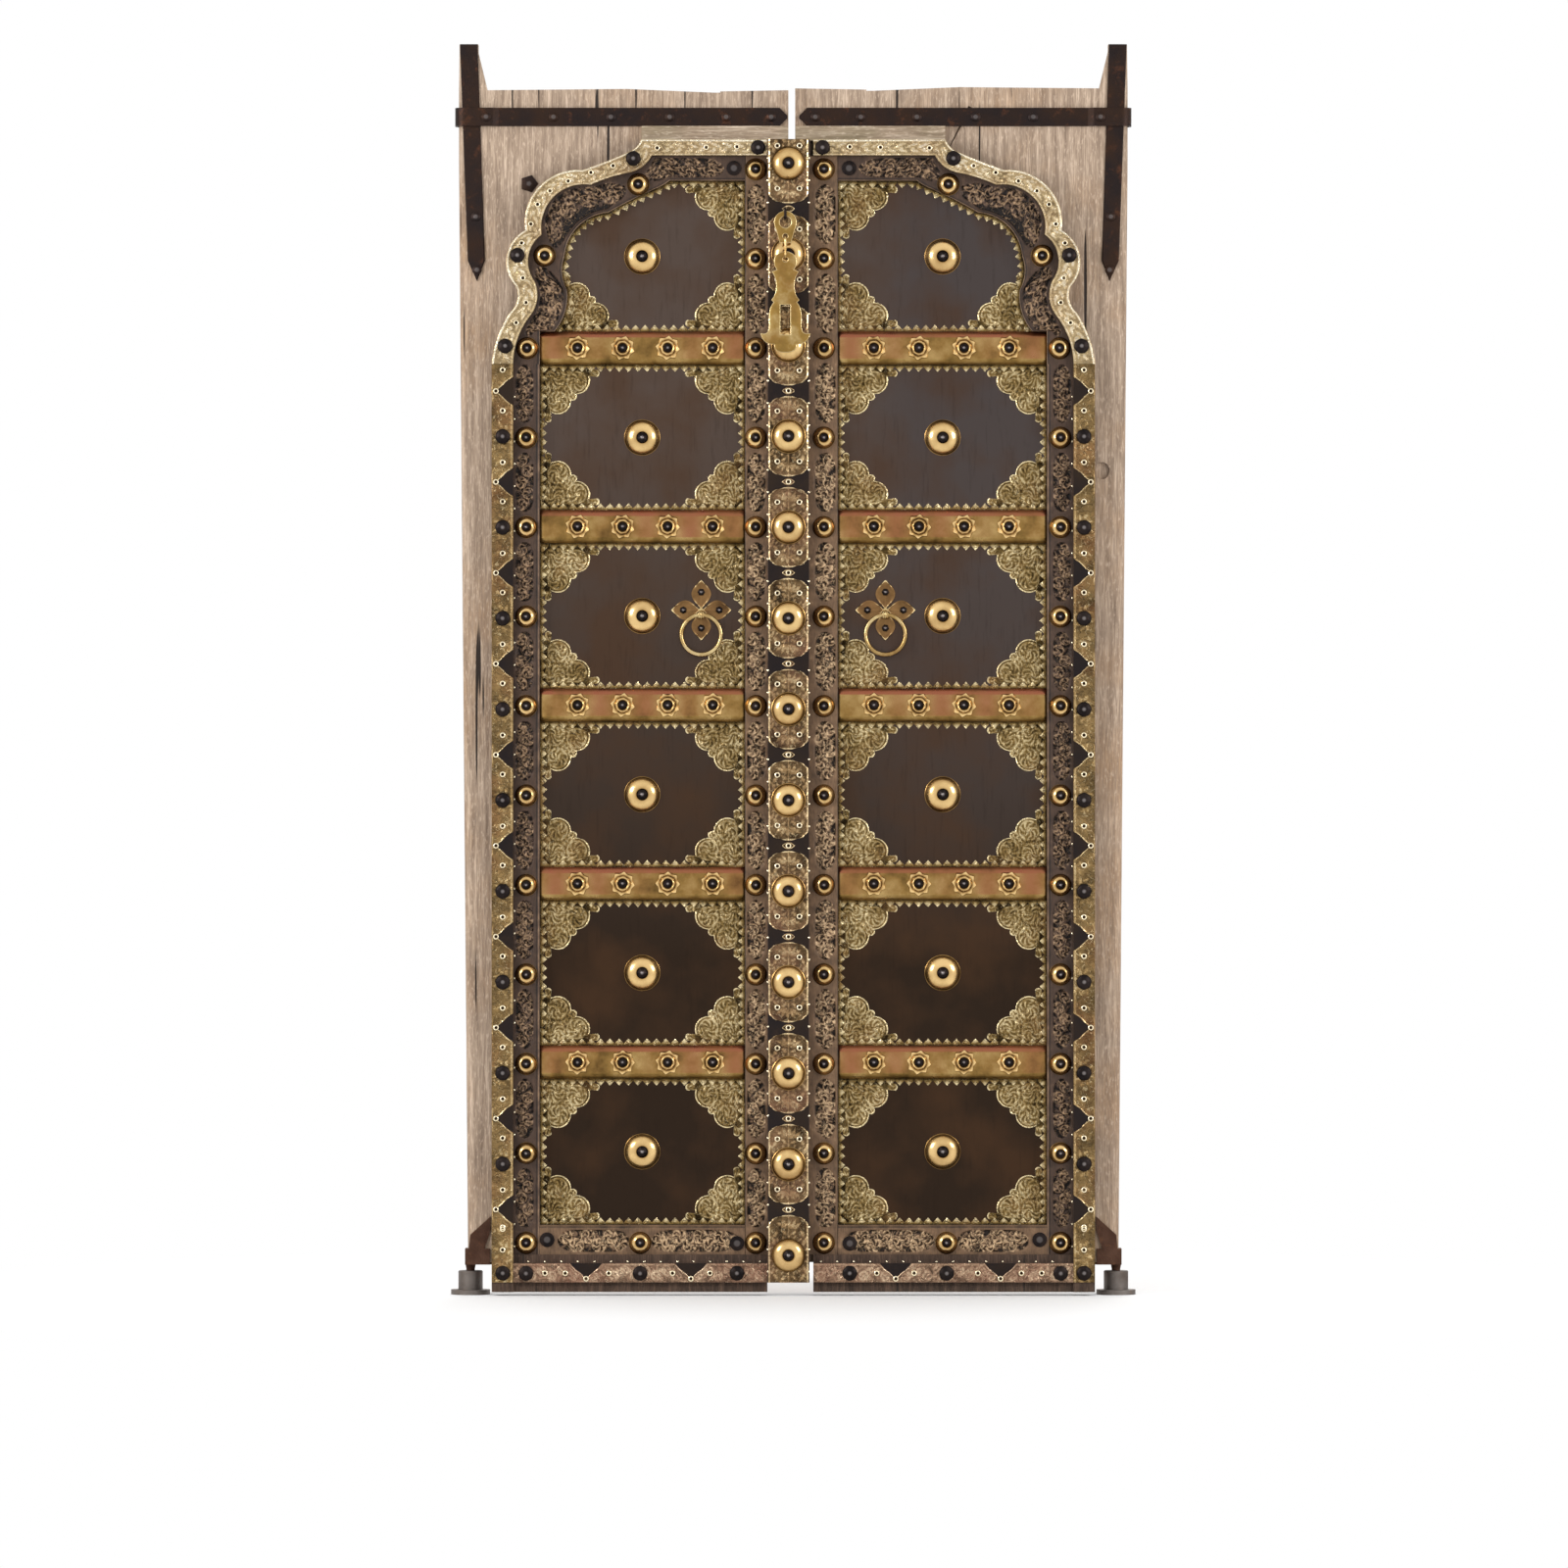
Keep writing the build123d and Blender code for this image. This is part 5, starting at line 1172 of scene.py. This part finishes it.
for leaf, side in SIDES.items():
    for material, *nodes in OWN_SHAPE:
        paint(material, *[f"{leaf}_{node}" for node in nodes])
    for make, label, material, *nodes in WORKED:
        piece(f"{leaf}_{label}", make(leaf), material, *[f"{leaf}_{node}" for node in nodes])
    piece(f"{leaf}_rail_brass", rail_covers(leaf), rail_brass, f"{leaf}_rails", crease=30)
    piece(f"{leaf}_corner_plates", corner_plates(leaf), fret_brass, f"{leaf}_panel_trim")
    repeated(f"{leaf}_teeth", tooth(), tooth_spots(leaf), fret_brass, spin=0.0)
    repeated(f"{leaf}_panel_domes", turned(PANEL_DOME, 48), on_leaf(leaf, DOME_SPOTS[leaf], SHEET_FACE),
             dome_brass, f"{leaf}_domes", lean=0.03, seed=3)
    repeated(f"{leaf}_bosses", turned(BOSS, 36), on_leaf(leaf, BOSS_SPOTS[leaf], STRIP_FACE), dome_brass,
             lean=0.08, seed=5)
    repeated(f"{leaf}_stars", turned(ROSETTE, 48, lobes=8), on_leaf(leaf, ROSETTE_SPOTS, RAIL_FACE - 0.5),
             dome_brass, f"{leaf}_rosettes", spin=0.4, lean=0.05, seed=7)
    repeated(f"{leaf}_dome_nails", turned(DOME_NAIL, 6), on_leaf(leaf, DOME_SPOTS[leaf], SHEET_FACE + 11.2),
             nail_iron, f"{leaf}_nails", seed=9, crease=20)
    small = on_leaf(leaf, BOSS_SPOTS[leaf], STRIP_FACE + 9.6) + on_leaf(leaf, ROSETTE_SPOTS, RAIL_FACE + 4.2)
    repeated(f"{leaf}_small_nails", turned(SMALL_NAIL, 6), small, nail_iron, lean=0.1, seed=11, crease=20)
    big = [(BAND_MIDDLE, z) for z in PLAQUE_ZS[1:10]]
    big += [(u, FOOT_MIDDLE) for u in (BAND_MIDDLE, 436, 250, 92)]
    big += ARCH_NAILS + [(BORDER_END[leaf] + 15, 1873)]
    repeated(f"{leaf}_band_nails", turned(BAND_NAIL, 42, lobes=7), on_leaf(leaf, big, BRASS_FACE), nail_iron,
             lean=0.06, seed=13, crease=60)
    strap = [(u, STRAP_Z) for u in (36, 110, 202, 298, 392)] + [(519, 1762), (517, 1675)]
    strap_spots = on_leaf(leaf, strap, 4.0) + on_leaf(leaf, [(502, STRAP_Z)], 8.2)
    repeated(f"{leaf}_strap_nails", turned(STRAP_NAIL, 12), strap_spots, strap_iron, lean=0.08, seed=15)
    flat = on_leaf(leaf, [(STILE[leaf] + 18, 1840), (402, 91), (92, 85)], STRIP_FACE)
    repeated(f"{leaf}_flat_nails", turned(FLAT_NAIL, 14), flat, nail_iron, lean=0.05, seed=17)
    pins = [(BAND_MIDDLE, z + dz) for z in NOTCH_ZS[:9] for dz in (-32, 32)]
    pins += [(BAND_MIDDLE, z) for z in (NOTCH_ZS[9] - 32, 1510, 75, 112)]
    pins += [(u, FOOT_MIDDLE) for u in (405, 372, 301, 197, 136)] + [(BORDER_OUT - 7, z) for z in NOTCH_ZS]
    pins += [(u, BAND_LOW + 6) for u in LOW_NOTCHES] + ARCH_PINS
    pin_spots = on_leaf(leaf, pins, BRASS_FACE - 0.2)
    tacks = [(BORDER_IN - 1.5, 80 + 36.5 * i) for i in range(39)]
    tacks += [(BORDER_END[leaf] + 12 + 27 * i, BAND_HIGH + 1.8) for i in range(15)]
    tack_spots = [(side * u, STRIP_FACE if z > 79 else 27.0, z, 0.0) for u, z in tacks]
    if leaf == "left":
        pin_spots += [(CENTRE_X + dx, CENTRE_FACE - 0.2, min(z + dz, ARCH_TOP - 11), 0.0)
                      for z in PLAQUE_ZS[1:] for dx in (-18, 18) for dz in (-41, 41)]
        pin_spots += on_centre(BETWEEN_ZS[:-2], -1.2)
        tack_spots += on_centre([40 + 36.3 * i for i in range(51)], -1.3, (-33.6, 33.6))
    repeated(f"{leaf}_bright_pins", turned(PIN, 16), pin_spots, pin_brass, f"{leaf}_pins", lean=0.1, seed=19)
    repeated(f"{leaf}_edge_tacks", turned(TACK, 10), tack_spots, pin_brass, spin=0.0, lean=0.1, seed=21)
    piece(f"{leaf}_clenched_nails", clenches(leaf), strap_iron)
    piece(f"{leaf}_petals", petals(leaf), petal_bronze, f"{leaf}_ring_plate")
    piece(f"{leaf}_ring_clip", clip(leaf), ring_brass)
    petal_nails = [(side * RING_U + 29.4 * cos(turn), SHEET_FACE + 1.5, RING_Z + 29.4 * sin(turn), 0.0)
                   for turn in (0, pi / 2, pi, 3 * pi / 2)]
    repeated(f"{leaf}_petal_nails", turned(SMALL_NAIL, 6), petal_nails, nail_iron, seed=23, size=0.85)

paint(ledge, "astragal")
paint(cover_iron, "astragal_iron")
paint(nail_iron, "hasp_staple")
paint(ring_brass, "hasp_loop")
cut_plate("hasp_link", 1749.25, both_sides(LINK_HALF), hole(10.5, 0), hole(5.1, -22.85))
cut_plate("hasp_plate", 1688.4, both_sides(PLATE_HALF), hole(5.1, 0), PLATE_SLOT)
piece("centre_plaques", plaques(), plaque_brass, "astragal_plaques")
repeated("centre_end_domes", turned(END_DOME, 144, lobes=48), on_centre((PLAQUE_ZS[0], PLAQUE_ZS[-1])),
         dome_brass, spin=0.0, seed=24)
piece("centre_eyes", eyes(), plaque_brass)
repeated("centre_domes", turned(STRIP_DOME, 48), on_centre(PLAQUE_ZS[1:-1]), dome_brass, lean=0.04, seed=25)
repeated("centre_nails", turned(DOME_NAIL, 6), on_centre(PLAQUE_ZS, 8.4), nail_iron, lean=0.05, seed=27,
         crease=20)
repeated("corner_nail", turned(CORNER_NAIL, 5), [(-432, 0.0, 1816, 0.0)], strap_iron, spin=0.0, seed=29)


# Floor, light and camera


def seen_directly(tree):
    """1 for rays from the camera and for mirrored and refracted ones, 0 for scattered light."""
    path = put(tree, "ShaderNodeLightPath", out=None).outputs
    seen = put(tree, "ShaderNodeMath", (path["Is Camera Ray"], path["Is Glossy Ray"]), operation="MAXIMUM")
    return put(tree, "ShaderNodeMath", (seen, path["Is Transmission Ray"]), operation="MAXIMUM")


def studio():
    world = bpy.data.worlds.new("studio")
    bpy.context.scene.world = world
    world.use_nodes = True
    tree = world.node_tree
    tree.nodes.clear()
    level = put(tree, "ShaderNodeMapRange", (seen_directly(tree), 0, 1, 0.8, 1.0))
    sky = put(tree, "ShaderNodeBackground", {"Color": "#ffffff", "Strength": level})
    put(tree, "ShaderNodeOutputWorld", (sky,), out=None)

    floor_mesh = bpy.data.meshes.new("floor")
    floor_mesh.from_pydata([(6 * x, 6 * y, 0) for x, y in ((-1, -1), (1, -1), (1, 1), (-1, 1))], [],
                           [(0, 1, 2, 3)])
    floor = join_scene("floor", floor_mesh)

    paper = bpy.data.materials.new("white_paper_floor")
    paper.use_nodes = True
    tree = paper.node_tree
    shader = tree.nodes["Principled BSDF"]
    point = put(tree, "ShaderNodeTexCoord", out="Object")
    shade = stain(tree, "#fafafa", "#f6f6f5", specks(tree, point, 400, detail=2), 0.3, 0.7, 0.2)
    tree.links.new(shade, shader.inputs["Base Color"])
    shader.inputs["Roughness"].default_value = 0.9
    # The paper runs out into the white ground that the camera and the metal see
    away = put(tree, "ShaderNodeVectorMath", (point,), out="Value", operation="LENGTH")
    far = put(tree, "ShaderNodeMapRange", (away, 0.5, 1.6))
    share = put(tree, "ShaderNodeMath", (seen_directly(tree), far), operation="MULTIPLY")
    glow = put(tree, "ShaderNodeEmission", {"Color": "#ffffff", "Strength": 1.0})
    mixed = put(tree, "ShaderNodeMixShader", (share, shader.outputs[0], glow))
    tree.links.new(mixed, tree.nodes["Material Output"].inputs["Surface"])
    floor_mesh.materials.append(paper)

    for name, place, size, watts in (("key", (-3.3, -2.7, 2.3), 1.3, 90), ("fill", (3.4, -2.6, 2.1), 1.3, 65),
                                     ("back", (0.5, 4.0, 3.0), 2.0, 60)):
        lamp = bpy.data.lights.new(name, "AREA")
        lamp.shape = "SQUARE"
        lamp.size = size
        lamp.energy = watts
        holder = join_scene(name, lamp)
        holder.location = place
        holder.rotation_euler = (Vector((0, 0, 1.0)) - Vector(place)).to_track_quat("-Z", "Y").to_euler()

    lens = bpy.data.cameras.new("camera")
    # In metres: the picture is this wide where the carved strips' faces stand
    distance, strips, width = 16.0, 0.02, 2.56
    lens.sensor_fit = "HORIZONTAL"
    lens.sensor_width = 36
    lens.lens = lens.sensor_width * (distance - strips) / width
    lens.clip_end = 60
    camera = join_scene("camera", lens)
    camera.location = (-0.0152, -distance, 0.8348)
    camera.rotation_euler = Euler((pi / 2, 0, 0))
    bpy.context.scene.camera = camera
    bpy.context.scene.view_settings.view_transform = "Standard"


studio()
